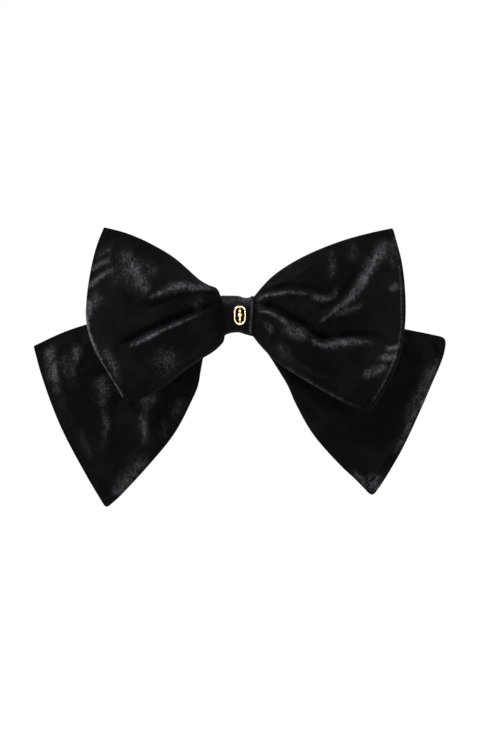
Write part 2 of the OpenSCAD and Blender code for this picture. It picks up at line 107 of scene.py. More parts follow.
# The stuffing trial
TRIAL_SCALE = 0.01  # metres to a millimetre, ten times life size, which the solver handles better
TRIAL_FRAMES = 22
TRIAL_SEAM = 0.05  # cloth nearer the outline than this is held
TRIAL_HEM = 1.9  # and nearer the outer edge than this
TRIAL_WAIST = 0.4  # and this far beyond the wrap
SHIFT_FADE = (0.4, 7.0)  # the movement sets in between these distances from the outline


# ---- What a user may change ----

def length_mm(name, description, default, low, high):
    """A size in millimetres."""
    return bpy.props.FloatProperty(name=name, description=description, default=default, min=low, max=high)


def share(name, description, default, low=0.0, high=1.0):
    """A number from low to high, without a unit."""
    return bpy.props.FloatProperty(name=name, description=description, default=default, min=low, max=high)


def colour(name, description, default):
    """A colour, linear, without alpha."""
    return bpy.props.FloatVectorProperty(
        name=name, description=description, default=default, min=0.0, max=1.0, size=3, subtype="COLOR"
    )


class BOW_PG_velvet(bpy.types.PropertyGroup):
    """The velvet, and how it is stuffed and folded"""

    deep: colour("Deep Pile", "Colour where the pile stands up and takes the light in", (
        0.0011, 0.00116, 0.00155
    ))
    # Laid Pile is the colour of the painted highlights, where the pile lies over
    laid: colour("Laid Pile", "Colour where the pile lies over and gives light back", (0.064, 0.065, 0.073))
    sheen: share("Sheen", "How much light the tips of the pile catch at a glancing angle", 0.018)
    edge_half: length_mm("Edge Half Thickness", "Half the thickness of a sewn edge", 0.75, 0.3, 1.5)
    fold_depth: share("Fold Depth", "Scales the depth of every fold", 1.0, 0.0, 2.0)
    slack: share("Slack", "How much larger the cloth is than the space it has", 0.03, 0.0, 0.2)
    pressure: share(
        "Stuffing Pressure", "How hard the stuffing presses outwards in the simulation", 1.2, 0.0, 10.0
    )


class BOW_PG_loops(bpy.types.PropertyGroup):
    """The pair of loops"""

    front_puff: length_mm("Front Puff", "How far a loop puffs out to the front", 10.5, 4.0, 15.0)
    back_puff: length_mm("Back Puff", "How far a loop puffs out to the back", 5.0, 2.0, 7.0)
    lean: length_mm("Lean", "How far the outer edges stand forward of the waist", 7.0, 0.0, 10.0)
    waist_depth: length_mm("Waist Depth", "Depth of the gathered waist", 8.0, 4.0, 10.0)


class BOW_PG_tails(bpy.types.PropertyGroup):
    """The pair of tails"""

    front_puff: length_mm("Front Puff", "How far a tail puffs out to the front", 2.6, 1.0, 4.0)
    back_puff: length_mm("Back Puff", "How far a tail puffs out to the back", 2.4, 1.0, 4.0)
    drift: length_mm("Drift", "How far the ends sit behind the waist", 6.0, 0.0, 8.0)
    waist_depth: length_mm("Waist Depth", "Depth of the gathered waist", 5.0, 3.0, 6.0)


class BOW_PG_stitches(bpy.types.PropertyGroup):
    """The topstitching beside the sewn edges"""

    inset: length_mm("Inset", "Distance of the stitches from the edge", 1.8, 0.5, 5.0)
    length: length_mm("Stitch Length", "Length of a stitch", 1.9, 0.5, 5.0)
    gap: length_mm("Gap", "Space between two stitches", 0.8, 0.1, 3.0)
    thickness: length_mm("Thread", "Thickness of the thread", 0.32, 0.1, 1.0)


class BOW_PG_beads(bpy.types.PropertyGroup):
    """The beading round the ornament"""

    size: length_mm("Bead", "Diameter of a bead", 1.0, 0.3, 1.6)
    gap: length_mm("Gap", "Space between two beads", 0.06, 0.0, 1.0)
    wire: length_mm("Wire", "Thickness of the wire that carries the beads", 1.1, 0.5, 2.0)
    sink: length_mm("Sink", "How deep a bead's middle sits behind the front of the wire", 0.2, 0.0, 1.0)


class BOW_PG_stage(bpy.types.PropertyGroup):
    """Camera, light and floor"""

    camera_distance: bpy.props.FloatProperty(
        name="Camera Distance", description="From the camera to the bow", default=2.0, min=0.5, max=10.0,
        unit="LENGTH"
    )
    view_height: bpy.props.FloatProperty(
        name="View Height", description="Height of what the camera sees at the bow", default=0.368, min=0.1,
        max=2.0, unit="LENGTH"
    )
    key_power: share("Key Light", "Power of the large light, in watts", 26.0, 0.0, 500.0)
    fill_power: share("Fill Light", "Power of the light on the other side, in watts", 10.0, 0.0, 500.0)
    side_power: share("Side Lights", "Power of each strip at the sides, in watts", 9.0, 0.0, 500.0)
    back_power: share("Back Light", "Power of the large light behind, in watts", 12.0, 0.0, 500.0)
    ambient: share("Ambient", "Strength of the light from all round", 0.33, 0.0, 5.0)


# ---- Curves ----

def spline(points, count=160):
    """Evenly spaced points on the smooth curve through the given ones."""
    p = np.array(points, float)
    p = np.vstack([2 * p[0] - p[1], p, 2 * p[-1] - p[-2]])
    knots = np.concatenate([[0], np.cumsum(np.sqrt(np.linalg.norm(np.diff(p, axis=0), axis=1)))])
    out = []
    for i in range(1, len(p) - 2):
        t0, t1, t2, t3 = knots[i - 1:i + 3]
        t = np.linspace(t1, t2, 24, endpoint=False)[:, None]
        a1 = (t1 - t) / (t1 - t0) * p[i - 1] + (t - t0) / (t1 - t0) * p[i]
        a2 = (t2 - t) / (t2 - t1) * p[i] + (t - t1) / (t2 - t1) * p[i + 1]
        a3 = (t3 - t) / (t3 - t2) * p[i + 1] + (t - t2) / (t3 - t2) * p[i + 2]
        b1 = (t2 - t) / (t2 - t0) * a1 + (t - t0) / (t2 - t0) * a2
        b2 = (t3 - t) / (t3 - t1) * a2 + (t - t1) / (t3 - t1) * a3
        out.append((t2 - t) / (t2 - t1) * b1 + (t - t1) / (t2 - t1) * b2)
    dense = np.vstack(out + [p[-2][None]])
    run = np.concatenate([[0], np.cumsum(np.linalg.norm(np.diff(dense, axis=0), axis=1))])
    at = np.linspace(0, run[-1], count)
    return np.stack([np.interp(at, run, dense[:, k]) for k in range(p.shape[1])], axis=1)


def at_share(curve, t):
    """Points of an evenly spaced curve at shares t of its length."""
    place = np.linspace(0, 1, len(curve))
    return np.stack([np.interp(t, place, curve[:, k]) for k in range(curve.shape[1])], axis=-1)


def smooth(low, high, x):
    """0 below low, 1 above high, and a soft step between."""
    t = np.clip((x - low) / (high - low), 0, 1)
    return t * t * (3 - 2 * t)


def nearest(curve, x, z):
    """For each place: its distance from a curve, on which side it lies (1 is left), and how far along."""
    start, step = curve[:-1], np.diff(curve, axis=0)
    rel_x = x[..., None] - start[:, 0]
    rel_z = z[..., None] - start[:, 1]
    square = np.maximum((step ** 2).sum(1), 1e-9)
    t = np.clip((rel_x * step[:, 0] + rel_z * step[:, 1]) / square, 0, 1)
    off_x, off_z = rel_x - t * step[:, 0], rel_z - t * step[:, 1]
    gap = np.hypot(off_x, off_z)
    best = gap.argmin(-1)[..., None]
    pick = lambda a: np.take_along_axis(a, best, -1)[..., 0]
    side = np.sign(step[best[..., 0], 0] * pick(off_z) - step[best[..., 0], 1] * pick(off_x))
    return pick(gap), side, (best[..., 0] + pick(t)) / len(step)


# ---- The outline of each half, in millimetres ----

# "top" runs from the waist to the upper corner, "bottom" from the waist to the lower one, and "outer" up from
# the lower corner. "round" is how far those two corners are rounded, the lower one first.

LEFT_LOOP = {
    "top": [(-6, 7.2), (-8.5, 10), (-9.3, 12), (-10.8, 13.8), (-14.3, 15.1), (-18.6, 17.6), (-31.5, 28.7),
            (-45, 36.6), (-56, 41.2), (-66.6, 44)],
    "bottom": [(-5.4, -7.2), (-6.3, -10.4), (-6.9, -13), (-9, -15.6), (-12.6, -18.6), (-18, -21.8),
               (-26, -27.4), (-39.5, -37.4), (-49.5, -41.9), (-55.8, -43.8)],
    "outer": [(-55.8, -43.8), (-60.8, -35), (-66.5, -25.8), (-71.4, -17.4), (-75.4, -3.4), (-75.2, 9),
              (-72.8, 24.7), (-70.3, 34.5), (-66.6, 44)],
    "round": (1.2, 0.8),
}
RIGHT_LOOP = {
    "top": [(6, 7.2), (8.6, 9.9), (11.8, 13.8), (18.4, 20.3), (31.7, 28.7), (50.7, 36.7), (65.7, 41),
            (77.6, 43.6)],
    "bottom": [(6, -7.2), (8, -10.8), (12, -15.8), (18.9, -22.6), (32.3, -31.7), (43.8, -38.3), (54.5, -44.3),
               (66, -47.8)],
    "outer": [(66, -47.8), (71.5, -40.3), (76.4, -31.7), (79.6, -24.5), (82.4, -14), (83.9, 2), (82.3, 24.7),
              (77.6, 43.6)],
    "round": (1.6, 1.4),
}
LEFT_TAIL = {
    "top": [(-6, 6.6), (-14, 9), (-30, 8), (-50, 3), (-75.7, -4.2), (-88, -8.4), (-102.7, -15.2)],
    "bottom": [(-6, -6.6), (-11, -13.5), (-16.6, -20), (-18.3, -27.2), (-19.8, -35.2), (-23.2, -43.2),
               (-31.7, -59.2), (-44.7, -75.2), (-59.6, -91.2), (-66.2, -97)],
    "outer": [(-66.2, -97), (-76.7, -79.2), (-89.2, -55.2), (-98.2, -31.2), (-102.7, -15.2)],
    "round": (2.6, 0.9),
}
RIGHT_TAIL = {
    "top": [(6, 6.6), (14, 9), (30, 7.5), (60, 0), (82.7, -6.3), (95, -8.8), (105.2, -11)],
    "bottom": [(6, -6.6), (9.5, -12.2), (15.2, -19.2), (20.4, -27.2), (25.2, -35.2), (28.7, -43.2),
               (37.7, -59.2), (51.7, -75.2), (60.2, -83.2), (67.8, -91.2)],
    "outer": [(67.8, -91.2), (73.8, -82.6), (82.8, -67.2), (90.4, -51.2), (97.4, -35.2), (103.6, -20),
              (105.2, -11)],
    "round": (3.2, 3.6),
}


# ---- Folds, and painted highlights where the pile lies over ----

def fold(points, height, left, right, trough=0.0, fade=(0.1, 0.3)):
    """A crest along a curve: how high it stands, how wide it runs out on each side, and the depth beyond."""
    return {"points": points, "height": height, "left": left, "right": right, "trough": trough, "fade": fade}


def highlight_stroke(points, widths, strength, fade=(0.15, 0.25)):
    """A painted highlight where the pile lies over: along a curve, with its half width at the start, middle
    and end.
    """
    return {"points": points, "widths": widths, "strength": strength, "fade": fade}


LEFT_LOOP_FOLDS = [
    # The ridge that leaves the top of the knot and turns up towards the outer edge
    fold([(-9, 11.5), (-17, 13.8), (-27, 13.8), (-37, 11.2), (-45, 7.8), (-50, 12), (-55, 20), (-60, 28)],
         3.0, 2.2, 4.5, trough=-1.6, fade=(0.06, 0.35)),
    # The lower lobe, whose upper edge overlaps the hollow above it
    fold([(-13, 2.2), (-21.5, -0.6), (-31, -4.6), (-42, -9.4), (-54, -15.4), (-60, -18)],
         3.6, 9.0, 1.1, trough=-3.0, fade=(0.08, 0.2)),
    # Pulls at the outer edge
    fold([(-75, 14.5), (-68, 18), (-60, 22.5), (-52, 24)], 1.7, 2.0, 1.4, trough=-0.9, fade=(0.05, 0.5)),
    fold([(-73.5, 22), (-67, 25), (-60, 27.5)], 1.2, 1.6, 1.2, trough=-0.5, fade=(0.05, 0.5)),
    fold([(-76, 4), (-70, 6), (-64, 10)], 1.0, 2.5, 1.8, trough=-0.4, fade=(0.05, 0.5)),
    fold([(-70, -16), (-64, -15), (-57, -19)], 1.4, 2.6, 2.2, trough=-0.6, fade=(0.05, 0.5)),
    # Gathers beside the knot
    fold([(-9, 7.6), (-15, 8.6), (-21, 9.6), (-27, 7.6)], 1.3, 0.9, 1.1, trough=-0.5, fade=(0.1, 0.6)),
    fold([(-9, 4.6), (-14, 5.8), (-20, 6), (-25, 2)], 1.2, 0.9, 1.2, trough=-0.5, fade=(0.1, 0.6)),
    fold([(-9, -2), (-14, -3.6), (-22, -8)], 1.0, 1.2, 1.2, fade=(0.1, 0.6)),
    fold([(-9, -5.4), (-15, -9.6), (-26, -18)], 1.3, 1.6, 1.6, trough=-0.5, fade=(0.1, 0.6)),
]
RIGHT_LOOP_FOLDS = [
    # The thin ridge that curls up at its end
    fold([(8.6, 5.4), (12, 8.6), (17, 9.6), (26, 10.8), (36, 9.8), (44, 7.4), (48, 10), (49.5, 14.5)],
         2.5, 1.1, 3.4, trough=-1.8, fade=(0.06, 0.22)),
    # The belly of the lower half: its edge overlaps the hollow above it
    fold([(8.6, 1.6), (16, 1.4), (22, -1.6), (27, -5), (32, -7.2), (37, -12), (43, -14.4), (50, -13.6),
          (58, -12.8), (67, -13.4), (72, -17)],
         4.2, 1.3, 10.0, trough=-3.2, fade=(0.06, 0.16)),
    # The long ridge to the upper corner
    fold([(41, -3.8), (46, 0.4), (52, 4.8), (57, 9.5), (61, 16), (66, 24), (71, 30.5), (77, 36)],
         3.2, 2.6, 3.6, trough=-1.4, fade=(0.12, 0.1)),
    # Its branch, underneath
    fold([(48, -1), (54, 1.8), (59, 3.6), (62, 8)], 1.8, 1.0, 1.4, trough=-1.0, fade=(0.25, 0.3)),
    # Pulls at the outer edge
    fold([(83, -13.8), (77.5, -16.2), (72, -17.2)], 1.5, 1.1, 1.3, trough=-0.9, fade=(0.05, 0.5)),
    fold([(82, -19.5), (76, -21), (70, -21.6)], 1.7, 1.2, 1.5, trough=-0.9, fade=(0.05, 0.5)),
    fold([(80, -24), (73, -25), (66, -28), (60, -31.5)], 1.7, 1.8, 1.6, trough=-0.6, fade=(0.05, 0.5)),
    fold([(83.5, 15), (79, 13.5), (74, 10)], 1.3, 1.6, 1.6, trough=-0.6, fade=(0.05, 0.5)),
    # Gathers beside the knot
    fold([(8.6, 8), (12, 11.4), (18, 14.4), (30, 17.6)], 1.0, 1.0, 1.4, trough=-0.5, fade=(0.1, 0.6)),
    fold([(8.6, 4), (12.5, 5.6), (17, 6.2)], 1.1, 0.7, 0.7, trough=-0.6, fade=(0.1, 0.4)),
    fold([(8.6, 2.8), (12.5, 3.6), (17, 3.9)], 0.9, 0.6, 0.6, trough=-0.5, fade=(0.1, 0.4)),
    fold([(26, 6.2), (31, 0.6), (34, 3), (37, 7)], 1.0, 2.0, 2.0, fade=(0.3, 0.3)),
    fold([(9, -2.4), (13, -2.6), (16.6, -5.4), (17.6, -10), (15, -13)],
         1.5, 1.6, 2.4, trough=-0.8, fade=(0.1, 0.25)),
    fold([(20, -9), (24, -16), (34, -24), (46, -31)], 1.0, 3.4, 3.0, fade=(0.2, 0.5)),
]
LEFT_TAIL_FOLDS = [
    fold([(-15, -18), (-40, -34), (-62, -50), (-82, -58)], 1.2, 6.0, 4.0, trough=-0.8, fade=(0.1, 0.4)),
    fold([(-14, -12), (-48, -20), (-78, -26), (-98, -30)], 1.2, 4.5, 5.0, trough=-0.9, fade=(0.1, 0.3)),
    fold([(-17, -28), (-34, -52), (-50, -72), (-62, -88)], 1.0, 4.0, 4.0, trough=-0.7, fade=(0.1, 0.3)),
    fold([(-93, -17), (-90, -30), (-86, -42), (-80, -56)], 1.2, 3.0, 3.4, trough=-0.6, fade=(0.15, 0.4)),
    fold([(-79, -14), (-80, -24), (-84, -33)], 0.9, 1.8, 2.2, trough=-0.4, fade=(0.2, 0.4)),
    fold([(-66, -30), (-65, -46), (-66, -62), (-68, -76)], 1.0, 2.6, 3.2, trough=-0.6, fade=(0.2, 0.4)),
    fold([(-45, -36), (-47, -50), (-48, -64), (-52, -76)], 1.0, 2.6, 3.0, trough=-0.6, fade=(0.2, 0.4)),
]
RIGHT_TAIL_FOLDS = [
    fold([(15, -16), (44, -26), (72, -30), (98, -26)], 1.1, 5.0, 5.0, trough=-0.7, fade=(0.1, 0.3)),
    fold([(18, -22), (40, -44), (62, -58), (86, -52)], 1.1, 5.0, 4.0, trough=-0.7, fade=(0.1, 0.4)),
    fold([(22, -30), (38, -54), (54, -72), (64, -84)], 0.9, 3.6, 3.6, trough=-0.6, fade=(0.1, 0.4)),
    fold([(100, -18), (94, -36), (84, -56), (76, -72)], 1.2, 2.6, 3.4, trough=-0.5, fade=(0.1, 0.2)),
]

# Painted highlights on the front of each half, where the pile lies over along ridges, pulls and edges
LEFT_LOOP_HIGHLIGHTS = [
    # Along the upper ridge, brightest where it is steepest
    highlight_stroke([(-11, 12.6), (-20, 13.8), (-30, 13.6), (-41, 9.4)], (1.0, 2.0, 2.8), 0.74, fade=(0.2, 0.35)),
    highlight_stroke([(-24, 13.8), (-34, 12), (-45, 7.4)], (1.0, 1.4, 1.0), 0.72, fade=(0.3, 0.2)),
    # The ridge's turn upwards, a thin painted highlight over a wide patch
    highlight_stroke([(-43, 8), (-47, 14), (-50, 21), (-56, 28), (-63, 29)], (2.6, 3.6, 3.8), 0.52, fade=(0.2, 0.3)),
    highlight_stroke([(-46, 13), (-55, 20), (-66, 25)], (5, 8, 6), 0.25, fade=(0.3, 0.3)),
    highlight_stroke([(-38, 18), (-44, 23), (-51, 29)], (3, 4, 3), 0.24, fade=(0.3, 0.4)),
    # Pulls that run to the outer edge
    highlight_stroke([(-56, 24), (-64, 20), (-70, 17), (-75, 13.8)], (2.6, 1.8, 1.4), 0.62, fade=(0.4, 0.05)),
    highlight_stroke([(-58, 28.5), (-67, 25.5), (-73.4, 22.5)], (2.6, 1.6, 1.2), 0.5, fade=(0.4, 0.05)),
    highlight_stroke([(-60, 33), (-67, 31), (-71.6, 29.6)], (2.4, 1.4, 1.2), 0.34, fade=(0.4, 0.05)),
    # The outer edge, with a painted highlight all the way down
    highlight_stroke([(-73, 10), (-74.2, 4), (-74.8, -3)], (2.6, 2.2, 1.4), 0.66, fade=(0.4, 0.3)),
    highlight_stroke([(-66, 12), (-70, 7), (-73, 1)], (3.6, 3, 2), 0.4, fade=(0.4, 0.4)),
    highlight_stroke([(-75.4, 6), (-75, -5), (-71.5, -15), (-66.5, -25)], (1.2, 0.9, 0.8), 1.15, fade=(0.2, 0.3)),
    highlight_stroke([(-71, -16), (-66.5, -25), (-61, -34.5), (-56.5, -42)], (0.8, 0.7, 0.7), 0.75, fade=(0.2, 0.1)),
    highlight_stroke([(-69.5, -14), (-65, -19), (-61, -28), (-57, -38)], (2.6, 3, 3), 0.4, fade=(0.3, 0.5)),
    # The edge of the lower lobe
    highlight_stroke([(-15, 2), (-26, -2.6), (-36, -7), (-46, -12), (-55, -15.8)],
           (0.6, 0.8, 1.2), 0.8, fade=(0.4, 0.15)),
    # Faint patches below it and beside the knot
    highlight_stroke([(-33, -13), (-35, -22), (-37, -33)], (4, 5.5, 4), 0.36, fade=(0.3, 0.3)),
    highlight_stroke([(-17, 9.6), (-20, 6), (-23, 1)], (3, 3.5, 2), 0.24, fade=(0.3, 0.3)),
]
RIGHT_LOOP_HIGHLIGHTS = [
    # The thin ridge and its curl
    highlight_stroke([(9, 6), (13, 9), (18, 9.7), (26, 10.9), (37, 9.8)], (0.8, 0.8, 0.8), 0.62, fade=(0.1, 0.2)),
    highlight_stroke([(34, 9.9), (43, 7.6), (47.6, 9.6), (49.4, 15)], (1.0, 1.7, 1.2), 0.56, fade=(0.3, 0.4)),
    # Gathers beside the knot
    highlight_stroke([(9, 3.4), (13, 4.4), (17, 5)], (1.4, 1.4, 1.4), 0.42, fade=(0.1, 0.4)),
    highlight_stroke([(12, -3), (16.5, -6), (17.5, -11)], (1.6, 1.8, 1.8), 0.4, fade=(0.3, 0.4)),
    highlight_stroke([(20, -12), (24, -18), (27, -25)], (3.0, 3.4, 3.0), 0.26, fade=(0.3, 0.4)),
    # The belly's edge, and the speckled slope beneath it
    highlight_stroke([(10, 1.7), (16, 1.3), (22, -2), (28, -6)], (0.6, 0.9, 1.4), 0.66, fade=(0.1, 0.3)),
    highlight_stroke([(22, -4), (28, -8), (36, -12.6)], (2.4, 3.2, 2.0), 0.52, fade=(0.3, 0.3)),
    highlight_stroke([(33, -11), (43, -14.6), (50, -13.4), (60, -12.8), (69, -14.4)],
           (1.0, 1.9, 1.8), 0.64, fade=(0.2, 0.3)),
    highlight_stroke([(40, -13), (48, -12), (58, -11)], (2.2, 2.6, 2.2), 0.28, fade=(0.3, 0.4)),
    # The long ridge to the upper corner, and its branch
    highlight_stroke([(40, -4.4), (47, 1.4), (54, 6.6)], (0.7, 0.9, 1.4), 0.62, fade=(0.2, 0.3)),
    highlight_stroke([(49, 3), (56, 8.6), (61, 16), (66, 24), (71, 30), (77, 35)],
           (1.8, 2.3, 2.8), 0.72, fade=(0.15, 0.2)),
    highlight_stroke([(60, 18), (66, 27), (73, 34), (77, 39)], (2.6, 3.4, 3.4), 0.34, fade=(0.3, 0.2)),
    highlight_stroke([(46, -1), (54, 2), (59, 4), (61.6, 9)], (0.9, 1.4, 1.3), 0.52, fade=(0.3, 0.4)),
    # Pulls at the outer edge
    highlight_stroke([(71, -15.6), (76.6, -16.4), (81.4, -14.6)], (1.1, 1.1, 1.0), 0.78, fade=(0.4, 0.1)),
    highlight_stroke([(67, -20.8), (74, -20.8), (80, -19.8)], (1.3, 1.6, 1.3), 0.74, fade=(0.4, 0.1)),
    highlight_stroke([(59, -31.5), (66, -27.6), (75, -24)], (2.4, 2.2, 1.6), 0.54, fade=(0.4, 0.2)),
    highlight_stroke([(73, 10), (77, 13.6), (81, 15.4)], (1.7, 1.7, 1.4), 0.42, fade=(0.4, 0.2)),
    highlight_stroke([(76, 22), (78, 30), (76.5, 39)], (2.0, 2.4, 2.0), 0.34, fade=(0.3, 0.3)),
    # The lower rim, faint streaks above, and the line along the outer edge
    highlight_stroke([(22, -24.6), (34, -32), (50, -41), (63, -47)], (1.0, 0.8, 0.8), 0.34, fade=(0.1, 0.1)),
    highlight_stroke([(46, 35), (47, 24), (45, 14)], (1.8, 2.0, 1.6), 0.3, fade=(0.3, 0.4)),
    highlight_stroke([(56, 38), (57, 30), (55, 22)], (2.0, 2.4, 2.0), 0.24, fade=(0.3, 0.4)),
    highlight_stroke([(77.5, 41), (80.4, 26), (81.7, 8), (81.3, -10), (78, -22), (71, -37), (66, -45)],
           (0.6, 0.5, 0.6), 0.5,
           fade=(0.05, 0.05)),
]
LEFT_TAIL_HIGHLIGHTS = [
    # Beside the outer corner
    highlight_stroke([(-97, -13), (-93, -22), (-92, -31), (-88, -46)], (3.2, 3.8, 2.4), 0.5, fade=(0.2, 0.5)),
    highlight_stroke([(-94.5, -18), (-93, -25), (-92, -32)], (1.6, 1.8, 1.4), 0.42, fade=(0.3, 0.4)),
    highlight_stroke([(-81, -12), (-80, -19), (-82, -27)], (2.2, 2.4, 1.8), 0.52, fade=(0.4, 0.4)),
    highlight_stroke([(-88, -16), (-84, -27), (-80, -40)], (4.5, 5.0, 4.0), 0.28, fade=(0.3, 0.5)),
    # Two runs down the middle
    highlight_stroke([(-69, -28), (-67, -38), (-66, -50)], (4.0, 4.6, 3.0), 0.36, fade=(0.2, 0.4)),
    highlight_stroke([(-67, -42), (-65.4, -54), (-68, -70)], (1.8, 1.8, 1.2), 0.36, fade=(0.3, 0.4)),
    highlight_stroke([(-43, -36), (-45, -42), (-47, -50)], (5.0, 4.4, 3.0), 0.42, fade=(0.2, 0.5)),
    highlight_stroke([(-47, -42), (-46.6, -54), (-46, -70)], (2.4, 2.2, 1.6), 0.36, fade=(0.3, 0.4)),
    highlight_stroke([(-35, -50), (-36.5, -58), (-38, -66)], (2.0, 2.0, 1.6), 0.26, fade=(0.3, 0.4)),
    highlight_stroke([(-28, -38), (-30, -46), (-34, -54)], (3.0, 3.4, 3.0), 0.24, fade=(0.3, 0.4)),
    # The lower edge and the tip
    highlight_stroke([(-44, -66), (-50, -76), (-56, -84), (-63, -92)], (3.0, 4.4, 3.6), 0.5, fade=(0.3, 0.15)),
    highlight_stroke([(-46, -73), (-53, -82), (-60, -90)], (1.4, 2.0, 1.8), 0.4, fade=(0.4, 0.2)),
    highlight_stroke([(-72, -74), (-76, -64), (-80, -54)], (1.6, 1.8, 1.4), 0.22, fade=(0.3, 0.3)),
]
RIGHT_TAIL_HIGHLIGHTS = [
    # Down the outer edge
    highlight_stroke([(102.6, -16), (98.5, -28), (93, -42), (85, -58), (77, -74)],
           (1.6, 2.2, 1.8), 0.42, fade=(0.2, 0.2)),
    highlight_stroke([(98, -18), (94, -32), (88, -46), (81, -60)], (3.0, 3.4, 2.6), 0.3, fade=(0.3, 0.4)),
    # The tip
    highlight_stroke([(73, -78), (68.6, -84), (67, -89)], (3.0, 4.4, 3.6), 0.56, fade=(0.5, 0.1)),
    highlight_stroke([(54, -75), (62, -82), (67, -88.6)], (1.6, 2.4, 2.2), 0.46, fade=(0.5, 0.1)),
]
# Painted highlights on the back of each pouch, where its pile lies over
LOOPS_BACK_HIGHLIGHTS = [
    highlight_stroke([(-72, 26), (-66, 8), (-64, -12), (-56, -32)], (3, 5, 3), 0.3, fade=(0.3, 0.4)),
    highlight_stroke([(-60, 36), (-44, 26), (-26, 12), (-12, 5)], (3, 5, 2), 0.3, fade=(0.3, 0.2)),
    highlight_stroke([(74, 36), (56, 28), (34, 16), (14, 6)], (3, 5, 2), 0.34, fade=(0.2, 0.2)),
    highlight_stroke([(80, 6), (76, -14), (66, -34)], (3, 4, 3), 0.3, fade=(0.3, 0.4)),
]
TAILS_BACK_HIGHLIGHTS = [
    highlight_stroke([(-99, -16), (-92, -32), (-84, -50), (-70, -80)], (2, 3.4, 2.4), 0.36, fade=(0.2, 0.3)),
    highlight_stroke([(-12, -3), (-34, -12), (-58, -24), (-80, -42)], (2, 4, 7), 0.3, fade=(0.2, 0.4)),
    highlight_stroke([(-14, -10), (-28, -28), (-42, -50), (-56, -74)], (1.6, 3, 5), 0.36, fade=(0.2, 0.4)),
    highlight_stroke([(101, -16), (94, -34), (84, -54), (72, -78)], (2, 3, 2.4), 0.34, fade=(0.2, 0.3)),
    highlight_stroke([(12, -2), (38, -8), (64, -16), (88, -20)], (2, 5, 6), 0.3, fade=(0.2, 0.4)),
    highlight_stroke([(14, -10), (32, -32), (48, -54), (60, -70)], (1.6, 3, 5), 0.36, fade=(0.2, 0.4)),
]


# ---- A pouch: two pieces of velvet sewn together round the edge ----

def round_corner(first, second, radius):
    """Two evenly spaced curves, the corner where first ends and second starts rounded off."""
    out = []
    for curve in (first[::-1], second):
        run = np.concatenate([[0], np.cumsum(np.linalg.norm(np.diff(curve, axis=0), axis=1))])
        out.append((curve.copy(), run, at_share(curve, radius / run[-1])))
    (a, run_a, end_a), (b, run_b, end_b) = out
    corner = second[0]
    for curve, run, mine, other in ((a, run_a, end_a, end_b), (b, run_b, end_b, end_a)):
        near = run < radius
        t = (0.5 + 0.5 * run[near] / radius)[:, None]
        curve[near] = (1 - t) ** 2 * other + 2 * t * (1 - t) * corner + t * t * mine
    return a[::-1], b


def patch(half, u, w):
    """Places in the outline of a half, at u from the waist outwards and w from the bottom up."""
    top, bottom = spline(half["top"], 400), spline(half["bottom"], 400)
    outer = spline(half["outer"], 400)
    at_bottom, at_top = half["round"]
    bottom, outer = round_corner(bottom, outer, at_bottom)
    outer, top_down = round_corner(outer, top[::-1], at_top)
    top = top_down[::-1]
    u, w = u[:, None], w[None, :]
    low, high = at_share(bottom, u[:, 0])[:, None], at_share(top, u[:, 0])[:, None]
    side = at_share(outer, w[0])[None]
    waist = (bottom[0] * (1 - w[..., None]) + top[0] * w[..., None])
    w3, u3 = w[..., None], u[..., None]
    corners = (1 - u3) * waist + u3 * ((1 - w3) * outer[0] + w3 * outer[-1])
    place = (1 - w3) * low + w3 * high + (1 - u3) * waist + u3 * side - corners
    outline = np.vstack([bottom[:-1], outer[:-1], top[::-1]])
    return place, outline, outer


def steps(count):
    """Shares from 0 to 1 that lie closer together at both ends."""
    t = np.linspace(0, 1, count + 1)
    return (1 - CLOSER_AT_ENDS) * t + CLOSER_AT_ENDS * (1 - np.cos(np.pi * t)) / 2


def swell(u, w, waist, puff):
    """Half the thickness of a stuffed half: deep at the waist, a pillow further out, closed at the edges."""
    across = np.clip(1 - (2 * w - 1) ** 2, 0, 1) ** (0.5 + 0.2 * u)
    return (waist * (1 - u) ** 3 + puff * np.sin(np.pi * u ** 0.8)) * across


def fold_heights(folds, x, z):
    """The heights of all the folds at each place."""
    total = np.zeros_like(x)
    for f in folds:
        curve = spline(f["points"], 48)
        gap, side, way = nearest(curve, x, z)
        width = np.where(side > 0, f["left"], f["right"])
        crest = np.exp(-((np.hypot(gap, CREST_ROUND) - CREST_ROUND) / width) ** 1.25)
        steep = min(f["left"], f["right"])
        on_steep = side > 0 if f["left"] < f["right"] else side <= 0
        beyond = np.exp(-((gap - steep - TROUGH_AT) / TROUGH_WIDE) ** 2) * on_steep
        fade = smooth(0, f["fade"][0], way) * smooth(0, f["fade"][1], 1 - way)
        near = np.exp(-(gap / FOLD_REACH) ** 2)
        total += fade * near * (f["height"] * crest + f["trough"] * beyond)
    return total


def nap_highlight_strengths(strokes, x, z):
    """How strong the painted highlight is at each place, where the pile lies over, from 0."""
    total = np.zeros_like(x)
    for s in strokes:
        gap, _, way = nearest(spline(s["points"], 40), x, z)
        width = np.interp(way, [0, 0.5, 1], s["widths"])
        fade = smooth(0, s["fade"][0], way) * smooth(0, s["fade"][1], 1 - way)
        total = np.maximum(total, s["strength"] * fade * np.exp(-(gap / (width * 1.1)) ** 2))
    return total


